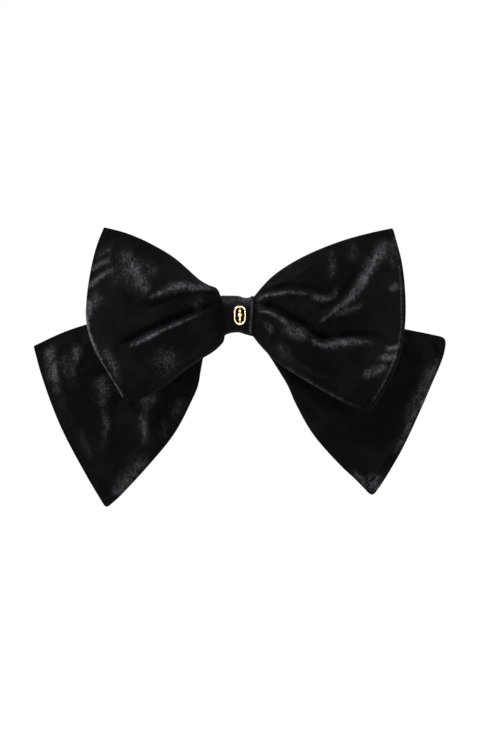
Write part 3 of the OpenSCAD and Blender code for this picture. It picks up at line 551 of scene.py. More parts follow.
class Pouch:
    """The grids of a pouch, from the left outer edge through the waist to the right outer edge."""

    def __init__(self, halves, middle, front, back, edge_half, inset, rows, waist_rows, columns, seed):
        self.rows, self.waist_rows, self.columns = rows, waist_rows, columns
        u, w = steps(rows), steps(columns)
        left, left_line, left_outer = patch(halves[0], u, w)
        right, right_line, right_outer = patch(halves[1], u, w)
        t = np.linspace(0, 1, waist_rows + 1)[1:-1, None, None]
        bridge = left[:1] * (1 - t) + right[:1] * t
        self.place = np.concatenate([left[::-1], bridge, right])
        self.u = np.concatenate([u[::-1], np.zeros(waist_rows - 1), u])
        self.side = np.sign(self.place[..., 0])
        self.w = w
        x, z = self.place[..., 0], self.place[..., 1]
        gap, outer_gap = np.zeros_like(x), np.zeros_like(x)
        for pick, line, outer in (
            (self.side < 0, left_line, left_outer), (self.side >= 0, right_line, right_outer)
        ):
            gap[pick] = nearest(line, x[pick], z[pick])[0]
            outer_gap[pick] = nearest(outer, x[pick], z[pick])[0]
        inner = self.u[:, None] == 0
        gap = np.where(inner, np.minimum(np.abs(z - z[:, :1]), np.abs(z - z[:, -1:])), gap)
        self.gap, self.outer_gap = gap, outer_gap
        edge = edge_half * np.sqrt(1 - (1 - np.clip(gap / edge_half, 0, 1)) ** 2)
        raised = 1 - np.exp(-np.clip(outer_gap - inset, 0, None) / HEM_RISE)
        groove = 1 - GROOVE_SHARE * np.exp(-((outer_gap - inset) / GROOVE_WIDE) ** 2)
        uu, ww = self.u[:, None], w[None, :]
        rng = np.random.default_rng(seed)
        phase = rng.uniform(0, 2 * np.pi, 6)
        sway = sum(
            np.sin(x / size + z / (size * 0.8) + p) * high
            for (size, high), p in zip(EDGE_WAVES, phase)
        ) * smooth(0.2, 0.9, uu)
        seam = middle(uu) + sway
        self.front = seam - edge * groove - front(uu, ww) * raised
        self.back = seam + edge * groove + back(uu, ww) * raised
        for grid in (self.front, self.back):
            for rim in (0, -1):
                grid[rim], grid[:, rim] = seam[rim], seam[:, rim]

    def solid(self, scale=MM):
        """Vertices and faces of the closed form. The two grids share the vertices of the seam."""
        n, m = self.place.shape[:2]
        x, z = self.place[..., 0], self.place[..., 1]
        front_index = np.arange(n * m).reshape(n, m)
        back_index = front_index.copy()
        back_index[1:-1, 1:-1] = n * m + np.arange((n - 2) * (m - 2)).reshape(n - 2, m - 2)
        front = np.stack([x, self.front, z], axis=-1).reshape(-1, 3)
        back = np.stack([x, self.back, z], axis=-1)[1:-1, 1:-1].reshape(-1, 3)
        corners = lambda i: (i[:-1, :-1], i[1:, :-1], i[1:, 1:], i[:-1, 1:])
        a, b, c, d = corners(back_index)
        faces = [np.stack(corners(front_index), -1), np.stack([a, d, c, b], -1)]
        self.front_index, self.back_index = front_index, back_index
        return np.vstack([front, back]) * scale, np.concatenate([f.reshape(-1, 4) for f in faces])


def mesh_object(name, verts, faces, material=None):
    """A smooth-shaded mesh object of those vertices and faces, linked to the scene."""
    mesh = bpy.data.meshes.new(name)
    mesh.from_pydata(verts.tolist(), [], faces.tolist())
    mesh.update()
    mesh.shade_smooth()
    obj = bpy.data.objects.new(name, mesh)
    bpy.context.scene.collection.objects.link(obj)
    if material:
        mesh.materials.append(material)
    return obj


def cubic_weights(at, count):
    """A matrix that reads count evenly spaced values at the given places, along a smooth curve."""
    weights = np.zeros((len(at), count))
    for row, place in enumerate(at):
        i = min(int(place), count - 2)
        t = place - i
        parts = (
            -t + 2 * t * t - t ** 3, 2 - 5 * t * t + 3 * t ** 3, t + 4 * t * t - 3 * t ** 3, t ** 3 - t * t
        )
        for k, part in zip(range(i - 1, i + 3), parts):
            weights[row, min(max(k, 0), count - 1)] += part / 2
    return weights


def simulate(pouch, slack, pressure, cap):
    """Stuffs a coarse copy of the pouch as cloth, and returns how far its front and its back move, in mm."""
    verts, faces = pouch.solid(TRIAL_SCALE)
    obj = mesh_object("stuffing_trial", verts, faces)
    pins = obj.vertex_groups.new(name="seams")
    x = pouch.place[..., 0]
    held = (pouch.gap < TRIAL_SEAM) | (pouch.outer_gap < TRIAL_HEM) | (np.abs(x) < KNOT_EDGE + TRIAL_WAIST)
    held_ids = np.concatenate([pouch.front_index[held], pouch.back_index[held]])
    pins.add(np.unique(held_ids).tolist(), 1.0, "REPLACE")
    cloth = obj.modifiers.new("stuffing", "CLOTH")
    settings = cloth.settings
    settings.quality = 5
    settings.mass = 0.3
    settings.tension_stiffness = settings.compression_stiffness = 12
    settings.shear_stiffness = 5
    settings.bending_stiffness = 0.35
    settings.air_damping = 2
    settings.use_pressure = True
    settings.uniform_pressure_force = pressure
    settings.vertex_group_mass = "seams"
    settings.shrink_min = -slack
    settings.effector_weights.gravity = 0
    cloth.collision_settings.use_collision = False
    cloth.point_cache.frame_start, cloth.point_cache.frame_end = 1, TRIAL_FRAMES
    scene = bpy.context.scene
    for number in range(1, TRIAL_FRAMES + 1):
        scene.frame_set(number)
    moved = obj.evaluated_get(bpy.context.evaluated_depsgraph_get()).data
    after = np.empty(len(moved.vertices) * 3, np.float32)
    moved.vertices.foreach_get("co", after)
    shift = (after.reshape(-1, 3) - verts) / TRIAL_SCALE
    far = np.linalg.norm(shift, axis=1, keepdims=True)
    shift *= np.minimum(1, cap / np.maximum(far, 1e-6))
    print(f"simulation: moved {far.mean():.2f} mm on average, {far.max():.2f} mm at most")
    scene.frame_set(1)
    mesh = obj.data
    bpy.data.objects.remove(obj)
    bpy.data.meshes.remove(mesh)
    return shift[pouch.front_index], shift[pouch.back_index]


def add_shift(fine, coarse, shifts):
    """Adds a coarse pouch's movement to the fine pouch of the same outline."""
    halves = np.arange(fine.rows + 1) / fine.rows * coarse.rows
    waist = coarse.rows + np.arange(1, fine.waist_rows) / fine.waist_rows * coarse.waist_rows
    at_rows = np.concatenate([halves, waist, coarse.rows + coarse.waist_rows + halves])
    by_row = cubic_weights(at_rows, 2 * coarse.rows + coarse.waist_rows + 1)
    by_column = cubic_weights(np.arange(fine.columns + 1) / fine.columns * coarse.columns, coarse.columns + 1)
    free = smooth(*SHIFT_FADE, fine.gap)[..., None]
    read = lambda shift: np.einsum("ri,ijk,cj->rck", by_row, shift, by_column) * free
    front, back = (read(s) for s in shifts)
    fine.front = fine.front + front[..., 1]
    fine.back = fine.back + back[..., 1]
    fine.front_slide, fine.back_slide = front[..., (0, 2)], back[..., (0, 2)]


def gathers(pouch, depth, count, reach, seed):
    """Pleats that run out from the waist and die away: heights over a grid."""
    rng = np.random.default_rng(seed)
    total = 0
    for side in (-1, 1):
        shift, bend = rng.uniform(0, 1), rng.uniform(-0.3, 0.3)
        w = pouch.w[None, :] + 0.05 * np.sin(2 * np.pi * (1.3 * pouch.w[None, :] + shift))
        wave = np.abs(np.sin(np.pi * (count * w + shift + bend * pouch.u[:, None] * 3))) ** 0.7 - 0.6
        uneven = 0.7 + 0.3 * np.sin(2 * np.pi * (2.1 * w + shift * 3))
        here = (pouch.side == side) | ((pouch.side == 0) & (side > 0))
        total = total + depth * wave * uneven * np.exp(-(pouch.u[:, None] / reach) ** 1.2) * here
    return total * smooth(*GATHER_INSIDE, pouch.gap)


# ---- Materials ----

class Value:
    """One output of a material's nodes, so that shader maths reads as ordinary expressions."""

    def __init__(self, finish, socket):
        self.finish, self.socket = finish, socket

    def math(self, operation, *values):
        return self.finish.node("ShaderNodeMath", {"operation": operation}, dict(enumerate(values)))

    def __add__(self, other):
        return self.math("ADD", self, other)

    def __sub__(self, other):
        return self.math("SUBTRACT", self, other)

    def __rsub__(self, other):
        return self.math("SUBTRACT", other, self)

    def __mul__(self, other):
        return self.math("MULTIPLY", self, other)

    def __pow__(self, other):
        return self.math("POWER", self, other)

    __radd__, __rmul__ = __add__, __mul__

    def clamped(self, low=0.0, high=1.0):
        """The value, held between low and high."""
        return self.finish.node("ShaderNodeClamp", {}, {"Value": self, "Min": low, "Max": high})


class Finish:
    """A material while it is being made."""

    def __init__(self, name):
        self.material = bpy.data.materials.new(name)
        self.material.use_nodes = True
        self.tree = self.material.node_tree
        self.tree.nodes.clear()
        self.place = self.node("ShaderNodeTexCoord", out="Object")

    def node(self, kind, settings=None, sockets=None, out=0):
        """Adds a node: its settings first, then a number, colour or Value for each socket."""
        node = self.tree.nodes.new(kind)
        for key, value in (settings or {}).items():
            setattr(node, key, value)
        for key, value in (sockets or {}).items():
            if isinstance(value, Value):
                self.tree.links.new(value.socket, node.inputs[key])
            else:
                node.inputs[key].default_value = value
        return Value(self, node.outputs[out])

    def noise(self, grain, detail=2.0, roughness=0.5, distortion=0.0, stretch=(1, 1, 1)):
        """Noise whose features are about grain millimetres across."""
        vector = self.place
        if stretch != (1, 1, 1):
            vector = self.node("ShaderNodeMapping", {}, {"Vector": vector, "Scale": stretch})
        return self.node("ShaderNodeTexNoise", {}, {
            "Vector": vector, "Scale": TO_MM / grain, "Detail": detail, "Roughness": roughness,
            "Distortion": distortion,
        })

    def blend(self, factor, first, second):
        """A colour between two others."""
        pad = lambda c: c if isinstance(c, Value) else (*c, 1.0)
        return self.node(
            "ShaderNodeMix", {"data_type": "RGBA"}, {0: factor, 6: pad(first), 7: pad(second)}, out=2
        )

    def bump(self, height, depth, strength=1.0, normal=None):
        """A bump whose height of 1 stands depth millimetres proud."""
        sockets = {"Height": height, "Distance": depth * MM, "Strength": strength}
        if normal:
            sockets["Normal"] = normal
        return self.node("ShaderNodeBump", {}, sockets)

    def surface(self, **sockets):
        """Ends the material in one Principled shader. An underscore stands for a space."""
        named = {key.replace("_", " "): value for key, value in sockets.items()}
        shader = self.node("ShaderNodeBsdfPrincipled", {}, named)
        output = self.tree.nodes.new("ShaderNodeOutputMaterial")
        self.tree.links.new(shader.socket, output.inputs["Surface"])
        return self.material


def velvet(name, settings, highlight_everywhere=0.0):
    """Short-pile velvet: almost black where the pile stands, and a painted highlight, grey and speckled,
    where it is laid over.
    """
    f = Finish(name)
    nap_highlight = f.node("ShaderNodeAttribute", {"attribute_name": "nap_highlight"}, out="Fac")
    cloud = f.noise(16, 4.0, 0.55)  # broad patches that break up the painted highlights and vary the colour
    streaks = f.noise(4.2, 4.0, 0.62, 0.8, stretch=(1.5, 1, 0.75))  # the lie of the pile
    speckle = f.noise(0.95, 3.0, 0.7)  # tufts that lean together
    pile = f.noise(0.3, 2.0, 0.6)  # single tufts
    brushed = (2.6 * nap_highlight).clamped()
    uneven = 1.25 * (streaks - 0.5) + 1.7 * (speckle - 0.5) + 0.6 * (cloud - 0.5)
    # laid: how much painted highlight, grey where the pile lies over, broken up by the noise
    laid = (0.84 * nap_highlight + brushed * uneven + highlight_everywhere).clamped() ** 1.7
    stray = 0.05 * ((cloud - 0.46) * 3.2).clamped() * (speckle * 1.3)
    grain = 0.35 + 0.7 * speckle + 0.6 * pile
    shade = f.blend(((laid + stray) * grain).clamped(), tuple(settings.deep), tuple(settings.laid))
    normal = f.bump(pile, 0.10, 0.5, f.bump(speckle, 0.25, 0.4, f.bump(streaks, 0.6, 0.3)))
    return f.surface(
        Base_Color=shade, Roughness=(0.86 - 0.2 * laid), Normal=normal, Specular_IOR_Level=0.035,
        Sheen_Weight=settings.sheen, Sheen_Roughness=0.34, Sheen_Tint=(0.78, 0.82, 0.95, 1.0),
    )


def thread_finish(name):
    """Twisted black sewing thread, with a low lustre."""
    f = Finish(name)
    shade, lustre = (0.003, 0.003, 0.0036), 2.4
    twist = f.node("ShaderNodeTexWave", {"bands_direction": "DIAGONAL"}, {
        "Vector": f.place, "Scale": 900.0, "Distortion": 1.5, "Detail": 1.0,
    })
    lint = f.noise(0.35, 2.0)
    tone = f.blend((0.3 * twist + 0.5 * lint).clamped(), shade, tuple(lustre * c for c in shade))
    return f.surface(
        Base_Color=tone, Roughness=0.6 + 0.2 * lint, Normal=f.bump(twist, 0.06), Specular_IOR_Level=0.08,
        Sheen_Weight=0.02, Sheen_Roughness=0.4, Sheen_Tint=(0.8, 0.82, 0.9, 1.0),
    )


def plated_metal(name, shade, worn, roughness, brushed=(1, 1, 1), brush_depth=0.01):
    """Plated metal with fine brushing, and faint smudges where the colour is slightly worn."""
    f = Finish(name)
    strokes = f.noise(0.35, 4.0, 0.6, stretch=brushed)
    smudge = f.noise(6.0, 3.0)
    tone = f.blend((0.75 * smudge).clamped(), shade, worn)
    gloss = roughness + 0.12 * (smudge - 0.4) + 0.10 * (strokes - 0.5)
    return f.surface(
        Base_Color=tone, Metallic=1.0, Roughness=gloss.clamped(0.05, 0.9),
        Normal=f.bump(strokes, brush_depth, 0.6),
    )


# ---- Pieces ----

FINISHES = {}


def finish_of(name, make):
    """The material of that name, made once."""
    if name not in FINISHES:
        FINISHES[name] = make(name)
    return FINISHES[name]


def velvet_material(highlight_everywhere=0.0):
    """The velvet of the pouches or, with a little painted highlight everywhere, of the wrap."""
    settings = bpy.context.scene.bow_velvet
    name = "wrap_pile" if highlight_everywhere else "bow_pile"
    return finish_of(name, lambda n: velvet(n, settings, highlight_everywhere))


def set_nap_highlight(obj, values):
    """Stores on each vertex how strong the painted highlight is, where the pile lies over."""
    attribute = obj.data.attributes.new("nap_highlight", "FLOAT", "POINT")
    attribute.data.foreach_set("value", values.astype(np.float32))


def make_pouch(name, halves, folds, highlight_strokes, back_highlights, middle, front, back, gather, seed, rows, columns, cap,
               behind=None):
    """A stuffed, folded pouch with its attribute of painted highlights. Returns the object and its grids."""
    velvet_settings = bpy.context.scene.bow_velvet
    inset = bpy.context.scene.bow_stitches.inset
    common = (halves, middle, front, back, velvet_settings.edge_half, inset)
    fine = Pouch(*common, rows, WAIST_ROWS, columns, seed)
    coarse = Pouch(*common, *COARSE_GRID, seed)
    shifts = simulate(coarse, velvet_settings.slack, velvet_settings.pressure, cap)
    add_shift(fine, coarse, shifts)
    x, z = fine.place[..., 0], fine.place[..., 1]
    depth = velvet_settings.fold_depth
    inside = smooth(0.0, FOLD_INSIDE, fine.gap)
    for side, side_folds in ((-1, folds[0]), (1, folds[1])):
        here = fine.side == side
        fine.front[here] -= fold_heights(side_folds, x[here], z[here]) * inside[here] * depth
    front_gathers, back_gathers = gather
    fine.front -= gathers(fine, *front_gathers, seed + 1) * depth
    fine.back += gathers(fine, *back_gathers, seed + 2) * depth
    if behind:
        fine.back = np.minimum(fine.back, behind(x + fine.back_slide[..., 0], z + fine.back_slide[..., 1]))
    verts, faces = fine.solid()
    slide = np.zeros_like(verts)
    inner = fine.back_index[1:-1, 1:-1]
    for part, axis in enumerate((0, 2)):
        slide[fine.front_index, axis] = fine.front_slide[..., part]
        slide[inner, axis] = fine.back_slide[1:-1, 1:-1, part]
    verts = verts + slide * MM
    obj = mesh_object(name, verts, faces, velvet_material())
    # painted highlights on the front, from the strokes of each half
    nap_highlight = np.zeros(x.shape)
    for side, strokes in ((-1, highlight_strokes[0]), (1, highlight_strokes[1])):
        here = fine.side == side
        nap_highlight[here] = nap_highlight_strengths(strokes, x[here], z[here])
    values = np.zeros(len(verts))
    # the back: a painted highlight along the outer edge, and the back's strokes of painted highlight
    values[fine.back_index] = np.maximum(0.25 * smooth(3, 0, fine.outer_gap), nap_highlight_strengths(back_highlights, x, z))
    values[fine.front_index] = nap_highlight
    set_nap_highlight(obj, values)
    return obj, fine


GRIDS = {}


def make_loops():
    """The pair of loops, in one pouch."""
    loops = bpy.context.scene.bow_loops
    back_y, half_waist = LOOPS_HIGH[1], loops.waist_depth / 2
    back = lambda u, w: swell(u, w, half_waist, loops.back_puff)
    front = lambda u, w: swell(u, w, half_waist, loops.front_puff)
    middle = lambda u: back_y - loops.lean * np.sin(np.pi / 2 * u) - back(u, 0.5)
    obj, GRIDS["loops"] = make_pouch(
        "velvet_loops", (LEFT_LOOP, RIGHT_LOOP), (LEFT_LOOP_FOLDS, RIGHT_LOOP_FOLDS),
        (LEFT_LOOP_HIGHLIGHTS, RIGHT_LOOP_HIGHLIGHTS), LOOPS_BACK_HIGHLIGHTS, middle, front, back,
        gather=((1.0, 6, 0.16), (0.9, 6, 0.3)), seed=11, rows=92, columns=110, cap=5.0
    )
    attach(obj, "bow")
    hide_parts("loops_front_panel", "loops_back_panel", "loop_filling_left", "loop_filling_right")


def tails_crown(u):
    """Where the back of the tails lies: it follows the base plate, then drifts back beyond its end."""
    tails = bpy.context.scene.bow_tails
    x = KNOT_EDGE + u * (TAILS_HIGH[0] - KNOT_EDGE)
    plate_end = PLATE_HIGH[0]
    rise = lambda at: PLATE_RADIUS - np.sqrt(PLATE_RADIUS ** 2 - np.minimum(at, plate_end) ** 2)
    beyond = np.clip((x - plate_end) / (TAILS_HIGH[0] - plate_end), 0, 1)
    along = rise(x) - rise(KNOT_EDGE)
    return TAILS_HIGH[1] - tails.drift + along + (tails.drift - along) * np.sin(np.pi / 2 * beyond)


def plate_limit(x, z):
    """How far back the tails may bulge: flat against the base plate, and freely once clear of it."""
    away = np.hypot(np.maximum(np.abs(x) - PLATE_HIGH[0], 0), np.maximum(np.abs(z) - PLATE_HIGH[2], 0))
    out = (np.abs(x) - KNOT_EDGE) / (TAILS_HIGH[0] - KNOT_EDGE)
    return tails_crown(out) - PLATE_GAP + PLATE_BULGE * smooth(*PLATE_CLEAR, away)


def make_tails():
    """The pair of tails, in one pouch."""
    tails = bpy.context.scene.bow_tails
    half_waist = tails.waist_depth / 2
    back = lambda u, w: swell(u, w, half_waist, tails.back_puff)
    front = lambda u, w: swell(u, w, half_waist, tails.front_puff)
    middle = lambda u: tails_crown(u) - back(u, 0.5)
    obj, GRIDS["tails"] = make_pouch(
        "velvet_tails", (LEFT_TAIL, RIGHT_TAIL), (LEFT_TAIL_FOLDS, RIGHT_TAIL_FOLDS),
        (LEFT_TAIL_HIGHLIGHTS, RIGHT_TAIL_HIGHLIGHTS), TAILS_BACK_HIGHLIGHTS, middle, front, back,
        gather=((0.5, 5, 0.2), (0.7, 6, 0.35)), seed=29, rows=84, columns=96, cap=2.5, behind=plate_limit
    )
    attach(obj, "bow")
    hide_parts("tails_front_panel", "tails_back_panel", "tail_filling_left", "tail_filling_right")


# ---- Topstitching and beading, by Geometry Nodes ----

# Stitches are laid on the cloth from in front of it and from behind it: the y to start at, and the way to go
LAID_FROM = ((-60.0, 1.0), (30.0, -1.0))
STITCH_LIFT = 0.02  # of a stitch's middle above the cloth
BEAD_START = 0.01  # the oval's first bead, in radians, just off its widest point


def stitch_tree():
    """A tree that lays rounded stitches along the edges of the mesh it is given."""
    tree = bpy.data.node_groups.get("topstitching")
    if tree:
        return tree
    tree = bpy.data.node_groups.new("topstitching", "GeometryNodeTree")
    face = tree.interface
    face.new_socket("Seam", in_out="INPUT", socket_type="NodeSocketGeometry")
    for name, default in (("Stitch Length", 0.0019), ("Gap", 0.0008), ("Thread", 0.00032)):
        socket = face.new_socket(name, in_out="INPUT", socket_type="NodeSocketFloat")
        socket.default_value = default
        socket.subtype = "DISTANCE"
    face.new_socket("Finish", in_out="INPUT", socket_type="NodeSocketMaterial")
    face.new_socket("Stitches", in_out="OUTPUT", socket_type="NodeSocketGeometry")

    def add(kind, links=(), **settings):
        node = tree.nodes.new(kind)
        for key, value in settings.items():
            setattr(node, key, value)
        for key, source in dict(links).items():
            if isinstance(source, bpy.types.NodeSocket):
                tree.links.new(source, node.inputs[key])
            else:
                node.inputs[key].default_value = source
        return node

    given = add("NodeGroupInput").outputs
    pitch = add("ShaderNodeMath", {0: given["Stitch Length"], 1: given["Gap"]}, operation="ADD").outputs[0]
    path = add("GeometryNodeMeshToCurve", {"Mesh": given["Seam"]}).outputs[0]
    marks = add("GeometryNodeResampleCurve", {"Curve": path, "Length": pitch}, mode="LENGTH").outputs[0]
    bead = add("GeometryNodeMeshUVSphere", {"Segments": 8, "Rings": 6, "Radius": 0.5}).outputs[0]
    smooth_bead = add("GeometryNodeSetShadeSmooth", {"Geometry": bead}).outputs[0]
    thick, long = given["Thread"], given["Stitch Length"]
    size = add("ShaderNodeCombineXYZ", {"X": thick, "Y": thick, "Z": long})
    along = add("GeometryNodeInputTangent").outputs[0]
    turned = add("FunctionNodeAlignRotationToVector", {"Vector": along}, axis="Z").outputs[0]
    laid = add("GeometryNodeInstanceOnPoints", {
        "Points": marks, "Instance": smooth_bead, "Rotation": turned, "Scale": size.outputs[0],
    }).outputs[0]
    real = add("GeometryNodeRealizeInstances", {"Geometry": laid}).outputs[0]
    done = add("GeometryNodeSetMaterial", {"Geometry": real, "Material": given["Finish"]}).outputs[0]
    add("NodeGroupOutput", {"Stitches": done})
    return tree


def run_nodes(name, paths, tree, values):
    """Feeds polylines to a Geometry Nodes tree and returns the result as a plain mesh object."""
    verts, edges = [], []
    for path in paths:
        edges += [(len(verts) + i, len(verts) + i + 1) for i in range(len(path) - 1)]
        verts += [tuple(p) for p in path]
    mesh = bpy.data.meshes.new(name + "_path")
    mesh.from_pydata(verts, edges, [])
    carrier = bpy.data.objects.new(name + "_path", mesh)
    bpy.context.scene.collection.objects.link(carrier)
    modifier = carrier.modifiers.new("stitches", "NODES")
    modifier.node_group = tree
    for item in tree.interface.items_tree:
        if item.item_type == "SOCKET" and item.in_out == "INPUT" and item.name in values:
            modifier[item.identifier] = values[item.name]
    bpy.context.view_layer.update()
    made = bpy.data.meshes.new_from_object(carrier.evaluated_get(bpy.context.evaluated_depsgraph_get()))
    carrier.modifiers.remove(modifier)
    bpy.data.objects.remove(carrier)
    obj = bpy.data.objects.new(name, made)
    made.name = name
    bpy.context.scene.collection.objects.link(obj)
    return obj


def seam_paths(pouch, cloth, inset):
    """Lines inset from both outer edges, on the front and on the back of a pouch, laid on its cloth."""
    surface = BVHTree.FromObject(cloth, bpy.context.evaluated_depsgraph_get())
    paths = []
    place, gap = pouch.place, pouch.outer_gap
    for rows in (range(0, pouch.rows // 2), range(len(pouch.u) - 1, len(pouch.u) - 1 - pouch.rows // 2, -1)):
        rows = list(rows)
        line = []
        for column in range(pouch.columns + 1):
            reach = [gap[r, column] for r in rows]
            row = np.interp(inset, reach, range(len(rows)))
            i = min(int(row), len(rows) - 2)
            t = row - i
            line.append(place[rows[i], column] * (1 - t) + place[rows[i + 1], column] * t)
        line = np.array(line)
        inner = [p for p in line if min(np.hypot(*(p - line[0])), np.hypot(*(p - line[-1]))) > inset * 0.8]
        for start_y, way in LAID_FROM:
            path = []
            for x, z in inner:
                spot, normal, _, _ = surface.ray_cast((x * MM, start_y * MM, z * MM), (0, way, 0))
                if spot is not None:
                    path.append(spot + normal * STITCH_LIFT * MM)
            paths.append(path)
    return paths


def make_topstitching():
    """A row of stitches beside each outer edge, on the front and on the back."""
    stitches = bpy.context.scene.bow_stitches
    thread = finish_of("black_thread", thread_finish)
    for name, cloth in (("loops", "velvet_loops"), ("tails", "velvet_tails")):
        paths = seam_paths(GRIDS[name], bpy.data.objects[cloth], stitches.inset)
        obj = run_nodes(name + "_topstitching", paths, stitch_tree(), {
            "Stitch Length": stitches.length * MM, "Gap": stitches.gap * MM,
            "Thread": stitches.thickness * MM, "Finish": thread,
        })
        if not obj.data.polygons:
            raise RuntimeError(f"no stitches were laid on {cloth}")
        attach(obj, "bow")


# ---- Knot ----

# Creases up the wrap's front: x where one crosses the middle, its lean, height and width, and from z to z
KNOT_CREASES = [
    (6.9, 0.05, 0.42, 0.8, -10, 10), (4.6, -0.03, 0.34, 0.55, 2, 9.5), (3.1, 0.04, 0.3, 0.5, 3, 9.5),
    (-3.4, 0.10, 0.26, 1.2, -6, 10), (-6.0, -0.06, 0.25, 0.8, -10, 8), (1.6, 0.06, 0.22, 0.7, 4, 9.5),
    (-0.6, 0.25, 0.16, 1.4, -10, -2),
]

# How far the wrap is drawn in from its box, under it and on top of it, from left to right
KNOT_PINCH = [(-8.3, -0.1), (-6.2, 0.0), (-3.2, 1.0), (0.8, 1.25), (3.8, 0.35), (6.8, -0.45), (8.3, -0.9)]
KNOT_DIP = [(-8.3, -0.2), (-5.0, -0.15), (0.8, 0.1), (2.8, 0.8), (5.6, 0.85), (7.2, 0.1), (8.3, -0.2)]


def read_line(points, x):
    """The height at x of the smooth line through the points."""
    line = spline(points)
    return np.interp(x, line[:, 0], line[:, 1])


def wrap_ring(low, high, corner, count):
    """Points of a rounded rectangle round the waist and their outward directions, anticlockwise from +X."""
    centre = (np.array(low) + high) / 2
    half = (np.array(high) - low) / 2
    straight = 2 * (half - corner)
    lengths = [straight[1], math.pi / 2 * corner, straight[0], math.pi / 2 * corner] * 2
    ends = np.cumsum(lengths)
    points, outward = [], []
    for at in np.linspace(0, ends[-1], count, endpoint=False):
        i = int(np.searchsorted(ends, at, side="right"))
        local = at - (ends[i] - lengths[i])
        turn = (i // 2) * math.pi / 2
        if i % 2:
            angle = turn + local / corner
            base = {0: (1, 1), 1: (-1, 1), 2: (-1, -1), 3: (1, -1)}[i // 2]
            direction = np.array((math.cos(angle), math.sin(angle)))
            points.append(base * (half - corner) + direction * corner)
        else:
            direction = np.array((math.cos(turn), math.sin(turn)))
            tangent = np.array((-direction[1], direction[0]))
            points.append(direction * half[0 if i % 4 == 0 else 1] + tangent * (local - lengths[i] / 2))
        outward.append(direction)
    return np.array(points) + centre, np.array(outward)


def make_knot():
    """The wrap: a doubled strip of velvet round the waist, with folded edges."""
    ring, outward = wrap_ring(WRAP_LOW[1:], WRAP_HIGH[1:], WRAP_CORNER, WRAP_POINTS)
    width = WRAP_HIGH[0] - WRAP_LOW[0]

    def flattened(half_width, top, bottom):
        """Across the strip: over the top from left to right, and back underneath."""
        half_t = (top - bottom) / 2
        flat = np.linspace(-1, 1, 27) * (half_width - half_t)
        bend = np.linspace(np.pi / 2, -np.pi / 2, 9)[1:-1]
        turn = np.stack([
            half_width - half_t + half_t * np.cos(bend), half_t * np.sin(bend) + (top + bottom) / 2,
        ], 1)
        return np.vstack([
            np.stack([flat, 0 * flat + top], 1), turn, np.stack([flat[::-1], 0 * flat + bottom], 1),
            turn[::-1] * (-1, 1),
        ])

    layer = (WRAP_THICK - WRAP_SLIT) / 2
    outer = flattened(width / 2, 0.0, -WRAP_THICK)
    hollow = flattened(width / 2 - layer, -layer, -layer - WRAP_SLIT)
    across = np.vstack([outer, hollow])
    x = np.repeat(across[None, :, 0], WRAP_POINTS, 0)
    depth = np.repeat(across[None, :, 1], WRAP_POINTS, 0)
    y, z = ring[:, 0], ring[:, 1]
    front = smooth(0.3, 0.9, -outward[:, 0])
    lift = np.zeros_like(x)
    for middle, lean, height, wide, low, high in KNOT_CREASES:
        crease = np.exp(-((x - middle - lean * z[:, None]) / wide) ** 2)
        lift += height * crease * (smooth(low - 3, low, z) * smooth(high + 3, high, z) * front)[:, None]
    share_x = x / (width / 2)
    lift += 0.35 * (1 - share_x ** 2) * front[:, None]
    middle = (ORNAMENT_LOW + ORNAMENT_HIGH) / 2
    beside, above = (x - middle[0]) / PRESSED_HALF[0], (z[:, None] - middle[2]) / PRESSED_HALF[1]
    pressed = np.exp(-beside ** 4 - above ** 4)
    lift *= 1 - PRESSED_SHARE * pressed * front[:, None]
    pinch = read_line(KNOT_PINCH, x) * smooth(0.1, 0.95, -outward[:, 1])[:, None]
    dip = read_line(KNOT_DIP, x) * smooth(0.1, 0.95, outward[:, 1])[:, None]
    offset = depth + lift - pinch - dip
    sway = 0.22 * np.sin(z / 3.4 + 0.6) + 0.12 * np.sin(z / 1.7)
    place = np.stack([
        x + sway[:, None] * np.abs(share_x) ** 3,
        y[:, None] + outward[:, :1] * offset,
        z[:, None] + outward[:, 1:] * offset,
    ], axis=-1)
    index = np.arange(place.shape[0] * place.shape[1]).reshape(place.shape[:2])
    faces = []
    for loop, order in ((index[:, :len(outer)], 1), (index[:, len(outer):], -1)):
        onward, beside = np.roll(loop, -1, 0), np.roll(loop, -1, 1)
        quads = np.stack([loop, onward, np.roll(onward, -1, 1), beside], -1).reshape(-1, 4)
        faces.append(quads[:, ::order])
    faces = np.concatenate(faces)
    # the wrap's velvet has a little painted highlight everywhere
    obj = mesh_object("knot_wrap_velvet", place.reshape(-1, 3) * MM, faces, velvet_material(0.1))
    # Painted highlights: over the top of the wrap and down the upper part of its front, and a thin line near
    # its right edge
    over_top = np.maximum(smooth(0.35, 1.0, outward[:, 1]), smooth(2.5, 9.0, z) * front)
    nap_highlight = 0.5 * over_top[:, None] * (1 - 0.25 * np.abs(share_x))
    nap_highlight = np.maximum(nap_highlight, 0.55 * np.exp(-((x - 7.3 + 0.045 * (9 - z[:, None])) / 0.7) ** 2) * front[:, None])
    set_nap_highlight(obj, nap_highlight.reshape(-1))
    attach(obj, "bow")
    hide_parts("knot_wrap")
    perimeter = np.linalg.norm(np.roll(ring, -1, 0) - ring, axis=1).sum()


def set_finish(nodes, material):
    """Gives nodes of the frame a material."""
    for name in nodes:
        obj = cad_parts[name]
        if not obj.material_slots:
            obj.data.materials.append(material)
        for held in obj.material_slots:
            held.material = material


